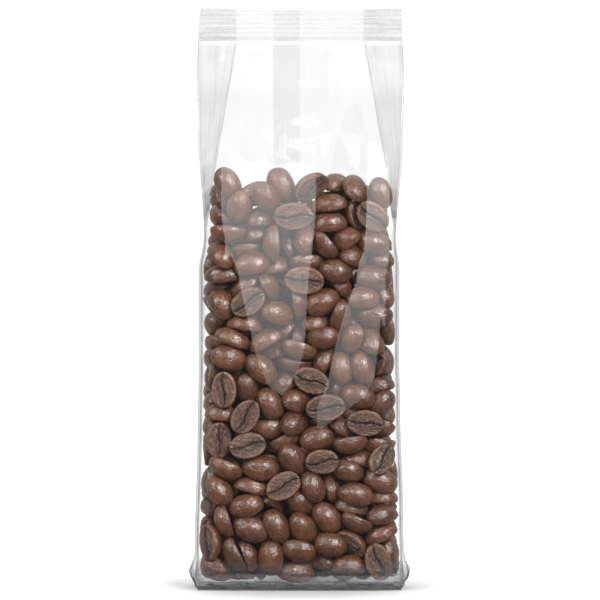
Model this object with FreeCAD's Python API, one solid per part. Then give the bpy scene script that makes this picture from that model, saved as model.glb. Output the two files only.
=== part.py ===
import FreeCAD, Part
import math, os

# Pillow-filled side-gusset film bag of roasted coffee beans, real size, millimetres.
# Origin: centre of the footprint, on the surface the bag stands on. +Z up, the wide
# plain face looks along -Y, the back seam is on +Y.

# ---------------------------------------------------------------- driving dimensions
BAG_HEIGHT = 186.5          # floor to the top cut edge
SEAL_BOTTOM = 175.9         # lower edge of the crimped top band
FOLD_AXIS_Z = 175.4         # line the top band bends about
PANEL_TOP = 174.5           # upper end of the loose film below the fold line
PANEL_BOTTOM = 1.6          # lower end of the upright panels
FILM_T = 0.16               # film thickness
GUSSET_W = 12.25            # width of one half of a side gusset
FIN_W = 8.6                 # width of the folded back seam
FIN_T = 0.32                # two plies
SEAL_RIB_PITCH = 1.45       # crimp rib pitch of the top band
SEAL_RIB_AMP = 0.17
BASE_SEAL_W = 11.0          # width of the crimped bottom seam, folded flat to the front
BASE_SEAL_T = 0.45
CORNER_EASE = 1.8           # how far the long corners are rounded where the bag is full
BEAN_A, BEAN_B, BEAN_H, BEAN_L = 6.0, 4.3, 4.25, 1.25   # semi length, semi width, dome, back
BEAN_FIT = 0.972            # beans are this share of the packed size, so none touch
LAYER_COUNT = 22

# outline of the film: height, left x, right x
OUTLINE = (
    (0.0, -33.92, 33.60), (11.8, -33.92, 33.60), (18.9, -33.92, 33.28), (29.1, -33.60, 33.28),
    (36.8, -33.28, 32.96), (44.5, -33.12, 32.64), (54.1, -32.96, 32.32), (63.7, -32.80, 32.32),
    (69.4, -32.64, 32.00), (104.0, -32.64, 32.00), (104.6, -32.51, 32.00), (107.8, -31.68, 31.36),
    (109.8, -31.36, 31.17), (113.6, -31.04, 31.04), (119.4, -31.23, 31.36), (123.2, -31.36, 31.55),
    (127.0, -31.68, 32.00), (130.9, -32.00, 32.32), (134.7, -32.16, 32.64), (138.6, -32.32, 32.83),
    (144.3, -32.64, 32.83), (152.0, -32.64, 32.96), (157.8, -32.90, 33.28), (165.4, -32.96, 33.28),
    (170.6, -32.96, 33.15), (173.8, -32.77, 32.96), (179.5, -32.64, 32.90), (183.4, -32.45, 32.74),
    (186.5, -32.00, 32.64))
# how far each side gusset is tucked in, and how far the wide faces bulge
TUCK = ((0.0, 0.0), (104.0, 0.0), (112.0, 0.25), (127.7, 3.5), (140.5, 6.1), (150.0, 8.0), (166.7, 11.1), (174.5, 12.22), (186.5, 12.22))
BULGE = ((0.0, 0.4), (4.0, 0.75), (14.0, 1.5), (90.0, 1.5), (125.0, 1.3), (150.0, 0.75), (168.0, 0.2), (176.0, 0.0))
EASE = ((0.0, 1.0), (98.0, 1.0), (114.0, 0.55), (140.0, 0.15), (160.0, 0.0), (190.0, 0.0))


def lerp(table, z, col=1):
    if z <= table[0][0]:
        return table[0][col]
    for a, b in zip(table, table[1:]):
        if z <= b[0]:
            f = (z - a[0]) / (b[0] - a[0])
            return a[col] + f * (b[col] - a[col])
    return table[-1][col]


def soft(table, z, col=1, h=2.2):
    """the same table, eased over a few millimetres"""
    return sum(lerp(table, z + h * k, col) for k in (-1.0, -0.5, 0.0, 0.5, 1.0)) / 5.0


def x_left(z):
    return soft(OUTLINE, z, 1)


def x_right(z):
    return soft(OUTLINE, z, 2)


def tuck(z):
    return soft(TUCK, z)


def edge_depth(z):
    """half depth of the bag at its four long corners"""
    t = tuck(z)
    return math.sqrt(max(GUSSET_W ** 2 - t * t, 0.0)) - CORNER_EASE * lerp(EASE, z)


def corner_in(z):
    """how far the long corners stand in from the outline, where the sides are full"""
    return 1.1 * soft(EASE, z)


def face_y(u, z):
    """half depth of the wide faces at u = -1..1 across the width"""
    return edge_depth(z) + (soft(BULGE, z) + CORNER_EASE * lerp(EASE, z)) * (1.0 - abs(u) ** 5)


def V(p):
    return FreeCAD.Vector(p[0], p[1], p[2])


def sheet(fn, us, vs, t):
    """a closed thin solid from a surface function; t is measured along -normal"""
    e = 1e-3
    outer, inner = [], []
    for v in vs:
        ro, ri = [], []
        for u in us:
            p = V(fn(u, v))
            du = V(fn(u + e, v)) - V(fn(u - e, v))
            dv = V(fn(u, v + e)) - V(fn(u, v - e))
            n = du.cross(dv)
            n.normalize()
            ro.append(p)
            ri.append(p - n * t)
        outer.append(ro)
        inner.append(ri)
    so, si = Part.BSplineSurface(), Part.BSplineSurface()
    so.interpolate(outer)
    si.interpolate(inner)
    faces = [so.toShape(), si.toShape()]

    def sides(s):
        u0, u1, v0, v1 = s.bounds()
        return [s.uIso(u0).toShape(), s.uIso(u1).toShape(), s.vIso(v0).toShape(), s.vIso(v1).toShape()]
    for a, b in zip(sides(so), sides(si)):
        faces.append(Part.makeRuledSurface(a, b))
    shell = Part.makeShell(faces)
    shell.sewShape()
    shell = shell if shell.ShapeType == "Shell" else shell.Shells[0]
    solid = Part.makeSolid(shell)
    if solid.Volume < 0:
        solid.reverse()
    return solid


def span(a, b, n):
    return [a + (b - a) * i / (n - 1.0) for i in range(n)]


ROWS = [PANEL_BOTTOM, 6, 14, 24, 36, 50, 64, 78, 90, 99, 103, 106, 109, 112, 118, 124, 130, 136, 142, 148, 154, 160, 166, 171, PANEL_TOP]
GROWS = [11.4, 14, 20, 28, 38, 50, 64, 78, 90, 99, 103, 106, 109, 112, 118, 124, 130, 136, 142, 148, 154, 160, 166, 171, PANEL_TOP]
nodes = {}


def panel_x(u, z):
    l, r = x_left(z) + corner_in(z), x_right(z) - corner_in(z)
    return 0.5 * (l + r) + 0.5 * (r - l) * u


# ---------------------------------------------------------------- upright film
def front(u, z):
    return (panel_x(u, z), -face_y(u, z), z)


def back(u, z):
    return (panel_x(u, z), face_y(u, z), z)


US = [-1, -0.97, -0.9, -0.8, -0.65, -0.45, -0.2, 0, 0.2, 0.45, 0.65, 0.8, 0.9, 0.97, 1]
nodes["front_panel"] = sheet(front, US, ROWS, FILM_T)
nodes["back_panel_left"] = sheet(back, [-1, -0.97, -0.9, -0.8, -0.65, -0.45, -0.2, -0.004], ROWS, -FILM_T)
nodes["back_panel_right"] = sheet(back, [0.004, 0.2, 0.45, 0.65, 0.8, 0.9, 0.97, 1], ROWS, -FILM_T)


def fin(x, z):
    l, r = x_left(z) + corner_in(z), x_right(z) - corner_in(z)
    u = (x - 0.5 * (l + r)) / (0.5 * (r - l))
    return (x, face_y(u, z) + FIN_T + 0.06, z)


nodes["back_fin_seal"] = sheet(fin, [-FIN_W, -6.5, -4.3, -2.0, -0.1], ROWS, -FIN_T)


def gusset(side, half):
    """side -1 left, +1 right; half -1 front, +1 back; v runs from the long corner to the centre crease"""
    def fn(v, z):
        out = x_left(z) if side < 0 else x_right(z)
        t = tuck(z)
        ci = corner_in(z)
        d = edge_depth(z)
        y0, y1 = d - FILM_T - 0.10, 0.07
        y = y0 + (y1 - y0) * v
        straight = ci + (t - ci) * v
        bow = 0.55 * ci * 4.0 * v * (1.0 - v) * 0.35
        return (out - side * (straight - bow + 0.02), half * y, z)
    return fn


VS = [0.0, 0.12, 0.3, 0.5, 0.7, 0.88, 1.0]
for side, sname in ((-1, "left"), (1, "right")):
    for half, hname in ((-1, "front"), (1, "back")):
        nodes["%s_gusset_%s_ply" % (sname, hname)] = sheet(gusset(side, half), VS, GROWS, FILM_T * side * half * -1.0)

# ---------------------------------------------------------------- base
BASE_W = 0.5 * (x_right(2.0) - x_left(2.0)) - 0.35


def base_path(y_edge, z_flat, y_end):
    """from the upright panel, round the bottom edge, then flat to the middle"""
    r = PANEL_BOTTOM - 0.12 - z_flat
    pts = []
    for k in range(6):
        a = 0.5 * math.pi * k / 5.0
        pts.append((y_edge - r * (1 - math.cos(a)), PANEL_BOTTOM - 0.12 - r * math.sin(a)))
    for f in (0.15, 0.4, 0.7, 1.0):
        pts.append((y_edge - r + (y_end - (y_edge - r)) * f, z_flat))
    return pts


def strip_yz(pts, x0, x1, t, sgn):
    """a bent strip: path in the YZ plane thickened inwards, drawn out along X"""
    out = []
    n = len(pts)
    for i in range(n):
        a, b = pts[max(i - 1, 0)], pts[min(i + 1, n - 1)]
        ty, tz = b[0] - a[0], b[1] - a[1]
        m = math.hypot(ty, tz)
        out.append((pts[i][0] + sgn * tz / m * t, pts[i][1] - sgn * ty / m * t))
    poly = [FreeCAD.Vector(x0, p[0], p[1]) for p in pts] + [FreeCAD.Vector(x0, p[0], p[1]) for p in reversed(out)]
    poly.append(poly[0])
    return Part.Face(Part.makePolygon(poly)).extrude(FreeCAD.Vector(x1 - x0, 0, 0))


BC = 0.5 * (x_right(2.0) + x_left(2.0))
yb = face_y(0.0, 2.0)
back_pts = base_path(yb - 0.35, 0.0, 0.25)
foot = []
for k in range(-14, 15):
    u = math.sin(0.5 * math.pi * k / 14.0)
    foot.append((panel_x(u, 2.0), -face_y(u, 2.0) + 0.30))
foot = foot + [(p[0], -p[1]) for p in reversed(foot)]
fp = [FreeCAD.Vector(p[0], p[1], -1.0) for p in foot]
fp.append(fp[0])
FOOT = Part.Face(Part.makePolygon(fp)).extrude(FreeCAD.Vector(0, 0, 4.0))
nodes["base_back_flap"] = strip_yz(back_pts, BC - BASE_W, BC + BASE_W, FILM_T, 1.0).common(FOOT).Solids[0]
front_pts = [(-p[0], p[1]) for p in base_path(yb - 0.35, BASE_SEAL_T + 0.12, 0.25)]
nodes["base_front_flap"] = strip_yz(front_pts, BC - BASE_W, BC + BASE_W, FILM_T, -1.0).common(FOOT).Solids[0]

# bottom seam: a crimped band lying flat under the front half, flat side on the floor
prof = [(-0.30, 0.0), (-0.30 - BASE_SEAL_W, 0.0)]
nrib = 46
for i in range(nrib + 1):
    y = -0.30 - BASE_SEAL_W + BASE_SEAL_W * i / nrib
    prof.append((y, BASE_SEAL_T - 0.06 + 0.05 * math.sin(2 * math.pi * (y / SEAL_RIB_PITCH))))
poly = [FreeCAD.Vector(BC - BASE_W + 0.5, p[0], p[1]) for p in prof]
poly.append(poly[0])
nodes["bottom_seal"] = Part.Face(Part.makePolygon(poly)).extrude(FreeCAD.Vector(2 * BASE_W - 1.0, 0, 0))


def facet_shell(outer, inner):
    """closed faceted solid between two equal grids of points"""
    nr, nc = len(outer), len(outer[0])
    tris = []

    def quad(p, q, r, s):
        tris.append((p, q, r))
        tris.append((p, r, s))
    for i in range(nr - 1):
        for j in range(nc - 1):
            quad(outer[i][j], outer[i][j + 1], outer[i + 1][j + 1], outer[i + 1][j])
            quad(inner[i][j], inner[i + 1][j], inner[i + 1][j + 1], inner[i][j + 1])
    for j in range(nc - 1):
        quad(outer[0][j], inner[0][j], inner[0][j + 1], outer[0][j + 1])
        quad(outer[-1][j], outer[-1][j + 1], inner[-1][j + 1], inner[-1][j])
    for i in range(nr - 1):
        quad(outer[i][0], outer[i + 1][0], inner[i + 1][0], inner[i][0])
        quad(outer[i][-1], inner[i][-1], inner[i + 1][-1], outer[i + 1][-1])
    faces = [Part.Face(Part.makePolygon([p, q, r, p])) for p, q, r in tris]
    shell = Part.makeShell(faces)
    shell.sewShape()
    shell = shell if shell.ShapeType == "Shell" else shell.Shells[0]
    solid = Part.makeSolid(shell)
    if solid.Volume < 0:
        solid.reverse()
    return solid


def base_fold(side):
    """folded-in foot of a side gusset: flares out to an ear, then tucks under the beans"""
    out = x_left(8.0) if side < 0 else x_right(8.0)
    w = abs(out)
    path = ((w - 0.10, 11.0, 10.2), (w + 0.35, 9.8, 10.4), (w + 1.0, 7.4, 10.4), (w + 1.75, 5.2, 10.0), (w + 0.95, 3.4, 10.2),
            (w + 0.1, 2.4, 10.2), (w - 1.2, 1.85, 9.4), (w - 5.5, 1.45, 6.2), (w - 11.0, 1.3, 1.2))
    outer, inner = [], []
    for s in range(len(path)):
        a, b = path[max(s - 1, 0)], path[min(s + 1, len(path) - 1)]
        tx, tz = b[0] - a[0], b[1] - a[1]
        m = math.hypot(tx, tz)
        nx, nz = tz / m, -tx / m
        x, z, h = path[s]
        outer.append([FreeCAD.Vector(side * x, h * v, z) for v in (-1, -0.5, 0, 0.5, 1)])
        inner.append([FreeCAD.Vector(side * (x + nx * FILM_T), h * v, z + nz * FILM_T) for v in (-1, -0.5, 0, 0.5, 1)])
    return facet_shell(outer, inner)


nodes["left_base_fold"] = base_fold(-1)
nodes["right_base_fold"] = base_fold(1)


# ---------------------------------------------------------------- crimped top band
def band(y_mid, t, x0, x1):
    n = 60
    zs = [SEAL_BOTTOM + (BAG_HEIGHT - SEAL_BOTTOM) * i / n for i in range(n + 1)]
    wave = lambda z: SEAL_RIB_AMP * math.sin(2 * math.pi * (z - SEAL_BOTTOM) / SEAL_RIB_PITCH)
    a = [(y_mid - t / 2 + wave(z), z) for z in zs]
    b = [(y_mid + t / 2 + wave(z), z) for z in reversed(zs)]
    poly = [FreeCAD.Vector(-40, p[0], p[1]) for p in a + b]
    poly.append(poly[0])
    body = Part.Face(Part.makePolygon(poly)).extrude(FreeCAD.Vector(80, 0, 0))
    # cut to the outline, with the slightly hollow top edge
    zs = (SEAL_BOTTOM - 1, 179.5, 183.4, BAG_HEIGHT)
    left = [(max(x0, lerp(OUTLINE, z, 1)) if x0 < -30 else x0, z) for z in zs]
    right = [(min(x1, lerp(OUTLINE, z, 2)) if x1 > 30 else x1, z) for z in zs]
    top = []
    for f in (0.2, 0.4, 0.6, 0.8):
        x = left[-1][0] + (right[-1][0] - left[-1][0]) * f
        top.append((x, BAG_HEIGHT - 0.75 * (1 - (x / 33.0) ** 2)))
    ends = [(left[-1][0], BAG_HEIGHT - 0.75 * (1 - min(1.0, (left[-1][0] / 33.0) ** 2))), (right[-1][0], BAG_HEIGHT - 0.75 * (1 - min(1.0, (right[-1][0] / 33.0) ** 2)))]
    out = left[:-1] + [ends[0]] + top + [ends[1]] + list(reversed(right[:-1]))
    poly = [FreeCAD.Vector(p[0], -3, p[1]) for p in out]
    poly.append(poly[0])
    cutter = Part.Face(Part.makePolygon(poly)).extrude(FreeCAD.Vector(0, 6, 0))
    return body.common(cutter).Solids[0]


P = FILM_T + 0.04
XL, XR = -34.0, 34.0
TG = GUSSET_W
nodes["top_seal_front_ply"] = band(-1.5 * P, FILM_T, XL, XR)
nodes["top_seal_back_ply"] = band(1.5 * P, FILM_T, XL, XR)
nodes["top_seal_left_gusset"] = band(0.0, 2 * P - 0.04, XL, -32.7 + TG)
nodes["top_seal_right_gusset"] = band(0.0, 2 * P - 0.04, 32.7 - TG, XR)
nodes["top_seal_fin_ply"] = band(2.0 * P + 0.02 + FIN_T / 2, FIN_T, -FIN_W, -0.1)


# beans: centre x, y, z, orientation quaternion w, x, y, z (long axis local X, dome local +Z), size step
BEANS = (
    (-23.17, -3.40, 129.83, 0.6481, 0.5706, 0.3880, -0.3223, 1),
    (-25.02, 6.01, 125.19, 0.2782, 0.7322, -0.0984, -0.6139, 2),
    (-14.09, -3.10, 126.73, 0.4471, 0.8796, 0.0009, 0.1626, 1),
    (-10.66, -8.38, 125.32, 0.4000, 0.8019, 0.3437, -0.2809, 0),
    (-5.90, -5.57, 129.12, 0.6180, 0.5741, 0.4017, -0.3565, 3),
    (-19.36, -7.74, 122.21, 0.5400, 0.5483, -0.6229, 0.1408, 1),
    (-12.46, -5.56, 117.39, 0.9014, 0.0754, -0.0216, 0.4257, 1),
    (-1.95, -11.22, 119.14, 0.7817, -0.6235, 0.0098, -0.0118, 4),
    (-22.98, -7.54, 114.74, 0.0933, 0.9926, -0.0725, -0.0275, 2),
    (-24.86, -3.37, 119.64, 0.2227, 0.7063, -0.6038, -0.2948, 2),
    (-15.07, -3.23, 112.34, 0.8846, 0.0654, -0.0929, -0.4523, 1),
    (-24.70, 0.86, 111.26, 0.8861, 0.2691, -0.1446, -0.3486, 0),
    (-17.21, -3.46, 109.42, 0.0573, 0.9970, 0.0183, 0.0485, 0),
    (-7.78, -8.90, 110.46, 0.7001, 0.0369, -0.7110, 0.0552, 2),
    (-4.41, -3.06, 110.08, 0.8098, -0.0765, 0.4763, -0.3340, 2),
    (2.02, -8.36, 111.76, 0.7233, -0.0398, -0.5814, 0.3704, 0),
    (-25.38, -7.02, 106.27, 0.8386, 0.1253, 0.2993, -0.4375, 1),
    (-15.35, -8.87, 103.52, 0.9415, 0.3185, -0.0890, 0.0655, 2),
    (2.38, -6.19, 105.07, 0.1925, 0.9743, 0.1159, 0.0164, 2),
    (-7.16, -3.86, 102.33, 0.9656, 0.0153, -0.0952, 0.2414, 1),
    (-24.82, -6.22, 99.85, 0.9844, 0.1624, -0.0367, -0.0574, 2),
    (1.38, -11.87, 98.73, 0.7237, -0.6889, 0.0304, 0.0277, 4),
    (-26.39, -0.46, 95.77, 0.8507, 0.0542, -0.1526, -0.5000, 2),
    (-17.27, -5.29, 96.39, 0.9443, 0.0794, -0.3167, -0.0422, 2),
    (-16.59, -11.84, 91.80, 0.6733, -0.6844, -0.1996, -0.1959, 2),
    (-10.35, -6.57, 96.14, 0.7738, 0.2918, 0.4688, 0.3102, 2),
    (-25.10, -7.73, 91.05, 0.7702, 0.3321, 0.3660, -0.4032, 0),
    (-27.52, -3.40, 89.07, 0.8840, 0.0020, 0.4583, -0.0917, 1),
    (-7.48, -8.34, 88.11, 0.8418, 0.4498, 0.1940, 0.2268, 2),
    (-0.79, -5.96, 90.90, 0.7207, 0.3024, 0.5850, 0.2166, 2),
    (-17.66, -7.48, 84.12, 0.9938, 0.0658, 0.0764, -0.0462, 2),
    (-26.72, 2.07, 84.40, -0.4561, -0.4195, 0.7582, 0.2028, 1),
    (-21.78, -7.37, 79.52, 0.9774, 0.1059, 0.1813, -0.0251, 2),
    (-26.07, 0.11, 79.14, 0.1830, 0.8978, -0.3962, -0.0588, 0),
    (-10.64, -8.13, 78.95, 0.9589, 0.0931, -0.2677, 0.0168, 2),
    (-0.17, -9.08, 77.43, 0.1688, 0.9762, 0.0265, -0.1334, 1),
    (-3.42, -1.18, 82.88, 0.7920, -0.1992, -0.3771, 0.4369, 2),
    (-22.75, -8.05, 73.85, 0.7300, 0.6670, 0.1473, -0.0221, 2),
    (-26.62, -0.33, 73.39, -0.3187, -0.5727, 0.7545, 0.0334, 3),
    (-12.59, -8.96, 70.48, 0.8120, 0.4676, 0.2989, -0.1804, 2),
    (-8.56, -2.52, 75.12, 0.9154, 0.0982, -0.0729, -0.3836, 3),
    (-1.86, -6.05, 72.77, -0.0260, 0.9906, -0.1060, -0.0820, 1),
    (-24.25, -11.00, 63.91, -0.4176, 0.5599, 0.4323, 0.5703, 2),
    (-26.66, 2.36, 63.87, 0.8098, -0.1293, -0.2950, -0.4903, 2),
    (-16.93, -7.12, 64.05, 0.6149, 0.4794, 0.6176, -0.1035, 1),
    (-5.61, -5.56, 65.36, 0.8545, 0.3552, -0.2100, -0.3155, 1),
    (3.76, -11.64, 66.79, 0.7675, -0.6117, 0.1472, 0.1226, 2),
    (-27.12, -1.15, 59.18, 0.6926, 0.1181, -0.2798, -0.6542, 0),
    (-25.25, -6.74, 55.52, 0.9921, 0.1109, 0.0341, 0.0485, 0),
    (-17.44, -11.70, 55.40, 0.6499, -0.5798, -0.3468, -0.3481, 2),
    (-9.47, -8.99, 59.36, 0.6575, 0.5780, 0.3689, -0.3121, 0),
    (-1.15, -7.87, 60.20, 0.8364, 0.4305, 0.1199, 0.3174, 1),
    (-27.13, -0.65, 52.54, 0.7327, -0.2870, -0.4765, 0.3920, 1),
    (-25.86, -8.48, 47.71, 0.5772, -0.4315, -0.5271, -0.4504, 2),
    (-10.18, -5.91, 51.74, 0.2887, 0.9547, 0.0284, 0.0662, 2),
    (-2.06, -7.69, 53.21, 0.7826, 0.3641, -0.0288, 0.5042, 3),
    (-16.65, -11.59, 46.06, 0.6265, -0.7745, -0.0601, -0.0631, 2),
    (-5.17, -6.27, 48.01, 0.0694, 0.9659, -0.0225, 0.2484, 1),
    (-30.15, 0.37, 44.18, 0.6584, -0.2973, 0.6266, -0.2926, 2),
    (-23.45, -8.20, 39.46, 0.1601, 0.9672, 0.0269, -0.1955, 2),
    (-12.46, -8.98, 38.77, 0.8146, 0.5786, 0.0399, -0.0088, 2),
    (-2.32, -8.69, 41.67, 0.5448, 0.6954, 0.4149, -0.2177, 2),
    (-27.67, -1.87, 34.25, 0.7721, -0.0015, -0.6276, 0.0995, 1),
    (-25.95, -7.74, 31.34, 0.8108, 0.3887, 0.3865, -0.2052, 0),
    (-15.74, -7.47, 32.13, 0.9929, 0.0431, 0.1110, -0.0058, 1),
    (-5.39, -11.78, 33.22, 0.6212, -0.7396, -0.1804, -0.1857, 2),
    (-17.11, -8.98, 26.63, 0.8976, 0.4260, -0.1133, 0.0054, 1),
    (-28.56, -1.35, 27.42, 0.0578, 0.6966, 0.6158, 0.3635, 1),
    (-30.22, 0.17, 18.13, -0.4248, 0.6469, -0.1933, 0.6031, 2),
    (-9.11, -3.96, 26.17, 0.8226, 0.0209, 0.2508, 0.5099, 3),
    (-3.46, -1.18, 26.52, 0.8235, 0.0876, 0.5214, 0.2055, 2),
    (-23.46, -8.15, 22.08, 0.0741, 0.8123, 0.0290, -0.5778, 0),
    (-29.22, -8.31, 15.11, -0.2227, 0.6410, 0.2589, 0.6873, 2),
    (-15.68, -8.44, 19.51, 0.5598, 0.8054, 0.0941, -0.1707, 3),
    (-7.71, -8.65, 20.28, 0.7839, 0.3542, 0.4758, -0.1834, 2),
    (-20.36, -8.30, 11.39, 0.0461, 0.8467, 0.0643, -0.5261, 2),
    (-17.40, -7.25, 10.57, 0.8251, -0.0579, 0.5609, -0.0367, 0),
    (-26.56, -4.54, 6.55, 0.8191, 0.5508, 0.1059, -0.1198, 1),
    (-9.19, -8.51, 10.09, 0.5538, 0.4275, -0.5962, 0.3939, 2),
    (0.82, -8.93, 19.89, 0.6122, 0.6201, 0.4330, -0.2308, 1),
    (-0.32, -8.80, 12.85, 0.3774, 0.9172, 0.0545, -0.1154, 1),
    (-1.31, -6.13, 5.06, 0.9551, 0.2823, 0.0367, 0.0817, 2),
    (8.61, -7.99, 23.06, 0.6180, 0.6610, 0.3310, -0.2678, 1),
    (9.73, -8.86, 14.30, 0.6146, 0.7834, 0.0424, -0.0824, 0),
    (6.62, -3.66, 8.95, 0.9283, 0.2084, 0.0583, -0.3025, 1),
    (15.69, -8.43, 7.21, 0.9331, 0.3565, 0.0353, 0.0306, 0),
    (16.11, -8.09, 14.60, 0.8653, -0.3978, 0.3040, 0.0233, 1),
    (25.00, -10.44, 8.99, 0.5557, -0.5894, 0.3297, 0.4848, 3),
    (27.67, -2.69, 11.59, 0.6867, 0.2797, 0.5709, -0.3525, 2),
    (26.04, -6.44, 17.10, 0.9651, 0.1308, -0.2234, 0.0390, 1),
    (26.92, -0.76, 21.39, 0.9064, -0.2527, -0.2294, 0.2491, 1),
    (26.17, -7.36, 23.33, 0.9343, 0.2386, -0.0331, 0.2628, 0),
    (18.36, -8.99, 22.27, 0.0711, 0.9775, 0.0307, -0.1964, 0),
    (16.21, -6.31, 25.70, 0.9895, 0.0823, 0.1099, 0.0450, 1),
    (17.74, -8.89, 30.14, 0.9371, 0.3350, 0.0979, 0.0121, 2),
    (26.01, -4.13, 28.37, 0.9998, 0.0041, -0.0165, 0.0140, 0),
    (25.56, -5.75, 34.52, 0.8914, 0.4239, 0.1403, -0.0774, 2),
    (26.08, -10.14, 41.74, 0.6606, -0.5862, -0.4477, -0.1402, 0),
    (25.13, -2.95, 46.89, 0.0640, 0.9765, 0.2024, -0.0374, 2),
    (19.21, -4.72, 40.31, 0.9864, 0.0017, 0.0766, 0.1454, 2),
    (15.97, -8.96, 47.43, 0.1088, 0.9897, 0.0054, 0.0931, 1),
    (20.62, -11.26, 53.38, 0.7677, -0.6369, 0.0187, 0.0682, 2),
    (25.94, -3.43, 52.32, 0.2219, 0.8537, -0.4629, -0.0873, 2),
    (12.78, -5.66, 51.89, 0.8973, 0.0781, 0.2887, -0.3247, 0),
    (5.38, -8.81, 48.23, 0.8968, 0.4285, -0.1077, 0.0227, 1),
    (4.53, -3.58, 50.91, 0.7885, -0.4800, 0.0099, -0.3844, 1),
    (7.00, -11.68, 41.06, 0.7817, -0.6229, -0.0277, 0.0098, 0),
    (3.95, -9.19, 32.92, 0.7151, 0.4260, 0.4598, -0.3094, 0),
    (9.31, -4.43, 32.87, 0.7253, -0.1615, 0.5812, -0.3318, 2),
    (15.35, -7.46, 38.32, 0.3444, 0.9241, 0.0217, -0.1639, 0),
    (0.73, -6.27, 27.78, 0.4738, 0.7836, 0.3984, 0.0523, 2),
    (8.15, -11.48, 58.23, 0.7945, -0.6057, -0.0420, -0.0077, 4),
    (18.42, -8.69, 61.67, 0.7755, 0.6184, 0.0471, -0.1181, 2),
    (19.81, -8.85, 70.96, 0.7075, 0.3790, 0.5241, -0.2847, 0),
    (11.79, -3.97, 65.70, 0.0949, 0.8383, 0.1604, 0.5123, 0),
    (25.55, -5.48, 59.30, 0.3534, 0.8598, -0.1899, 0.3160, 1),
    (25.23, -4.11, 64.51, 0.9814, 0.0959, -0.0732, 0.1496, 0),
    (26.19, 0.75, 72.77, -0.1370, 0.6295, 0.1127, 0.7565, 1),
    (24.39, -6.07, 72.37, 0.3824, 0.2967, 0.6560, 0.5792, 1),
    (7.80, -5.29, 73.30, 0.7681, -0.0194, -0.5348, 0.3516, 2),
    (12.71, -1.19, 73.40, 0.7668, 0.0297, -0.5033, 0.3973, 2),
    (7.12, -9.00, 91.81, 0.6784, 0.7030, -0.0656, 0.2030, 2),
    (11.44, -9.10, 101.68, 0.8482, 0.5261, 0.0581, -0.0216, 0),
    (13.31, -4.05, 95.96, 0.8762, 0.2125, 0.3527, 0.2504, 2),
    (5.55, -6.48, 84.34, 0.9532, 0.1286, -0.0318, 0.2717, 0),
    (7.47, -9.27, 80.69, 0.4000, 0.9147, -0.0268, 0.0501, 0),
    (12.18, -8.56, 87.36, 0.5584, 0.3064, 0.7709, 0.0028, 2),
    (16.56, -1.28, 85.85, 0.4211, 0.6593, -0.0114, -0.6228, 2),
    (16.97, -8.36, 80.09, 0.7056, 0.4494, -0.5442, -0.0636, 0),
    (20.17, -8.76, 92.90, 0.9206, 0.3871, 0.0013, 0.0525, 0),
    (23.86, -6.77, 87.63, 0.5358, 0.8435, -0.0353, -0.0157, 2),
    (23.39, -7.96, 99.41, 0.8994, 0.4180, 0.0949, 0.0855, 2),
    (17.40, -3.43, 99.80, 0.8557, 0.1224, 0.4576, 0.2082, 1),
    (25.64, -3.34, 105.25, 0.8509, 0.1103, 0.1179, -0.4998, 1),
    (28.95, 3.22, 98.87, 0.2227, 0.6965, -0.2152, -0.6473, 2),
    (25.82, -4.68, 94.31, 0.8190, -0.1940, 0.5044, -0.1930, 1),
    (22.61, -7.44, 78.89, 0.8081, 0.2140, 0.2692, -0.4783, 1),
    (28.30, -1.29, 83.09, 0.0125, 0.7224, 0.2674, -0.6376, 0),
    (16.91, -6.81, 105.85, 0.8273, 0.2932, 0.1295, 0.4613, 1),
    (14.66, -7.25, 111.86, 0.8451, 0.3867, -0.1672, -0.3289, 1),
    (23.44, -6.45, 110.77, 0.8795, 0.4549, 0.1192, -0.0729, 2),
    (8.52, -8.01, 110.69, 0.0898, 0.8991, 0.0337, -0.4271, 1),
    (9.44, -8.25, 116.75, 0.9615, 0.2736, -0.0194, 0.0178, 1),
    (9.56, -8.25, 122.31, 0.9779, 0.1192, -0.0638, -0.1596, 2),
    (9.70, -0.74, 126.34, -0.0254, 0.9564, -0.2904, 0.0161, 1),
    (11.29, -2.12, 128.92, 0.8756, 0.1369, 0.0128, 0.4630, 2),
    (3.57, -9.35, 128.42, 0.8600, -0.4207, -0.2419, -0.1578, 2),
    (17.36, -6.93, 127.70, 0.7698, 0.0577, 0.3701, -0.5169, 2),
    (15.67, 5.14, 124.99, 0.7583, -0.1190, -0.5747, 0.2838, 0),
    (18.74, -6.31, 119.40, -0.4996, 0.6827, -0.0206, -0.5329, 1),
    (23.22, -9.94, 119.09, 0.7046, -0.6235, 0.1621, 0.2977, 2),
    (25.76, -5.73, 126.69, 0.4060, 0.6620, 0.3142, -0.5460, 0),
    (21.48, 0.63, 125.43, 0.9027, 0.0910, 0.0278, 0.4195, 1),
    (27.30, 0.57, 113.39, -0.1634, 0.7734, 0.2726, -0.5485, 2),
    (0.29, -1.75, 81.66, 0.4192, 0.6996, 0.1678, 0.5538, 3),
    (26.38, 2.15, 56.08, 0.8073, 0.0970, 0.3205, -0.4860, 1),
    (11.87, 11.90, 89.78, 0.3747, 0.3872, -0.5759, 0.6149, 2),
    (26.28, 6.74, 3.78, 0.9839, 0.0024, -0.0238, -0.1771, 0),
    (-26.41, 7.30, 29.51, -0.2901, -0.1460, 0.7231, 0.6096, 2),
    (-21.27, 11.19, 117.08, 0.4295, 0.5297, -0.4883, 0.5445, 3),
    (13.57, 9.12, 39.98, 0.5684, 0.7390, -0.2476, -0.2636, 2),
    (-13.42, 11.94, 58.42, 0.5055, 0.5325, -0.4801, 0.4800, 3),
    (-3.69, 7.15, 6.81, -0.2311, -0.3261, 0.8334, 0.3816, 3),
    (3.06, 9.03, 119.28, 0.6712, -0.2883, -0.6184, -0.2897, 0),
    (-10.54, 8.75, 42.89, -0.0953, 0.6470, -0.3580, 0.6665, 0),
    (13.68, 9.04, 60.84, 0.0046, -0.0547, 0.0674, 0.9962, 1),
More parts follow.
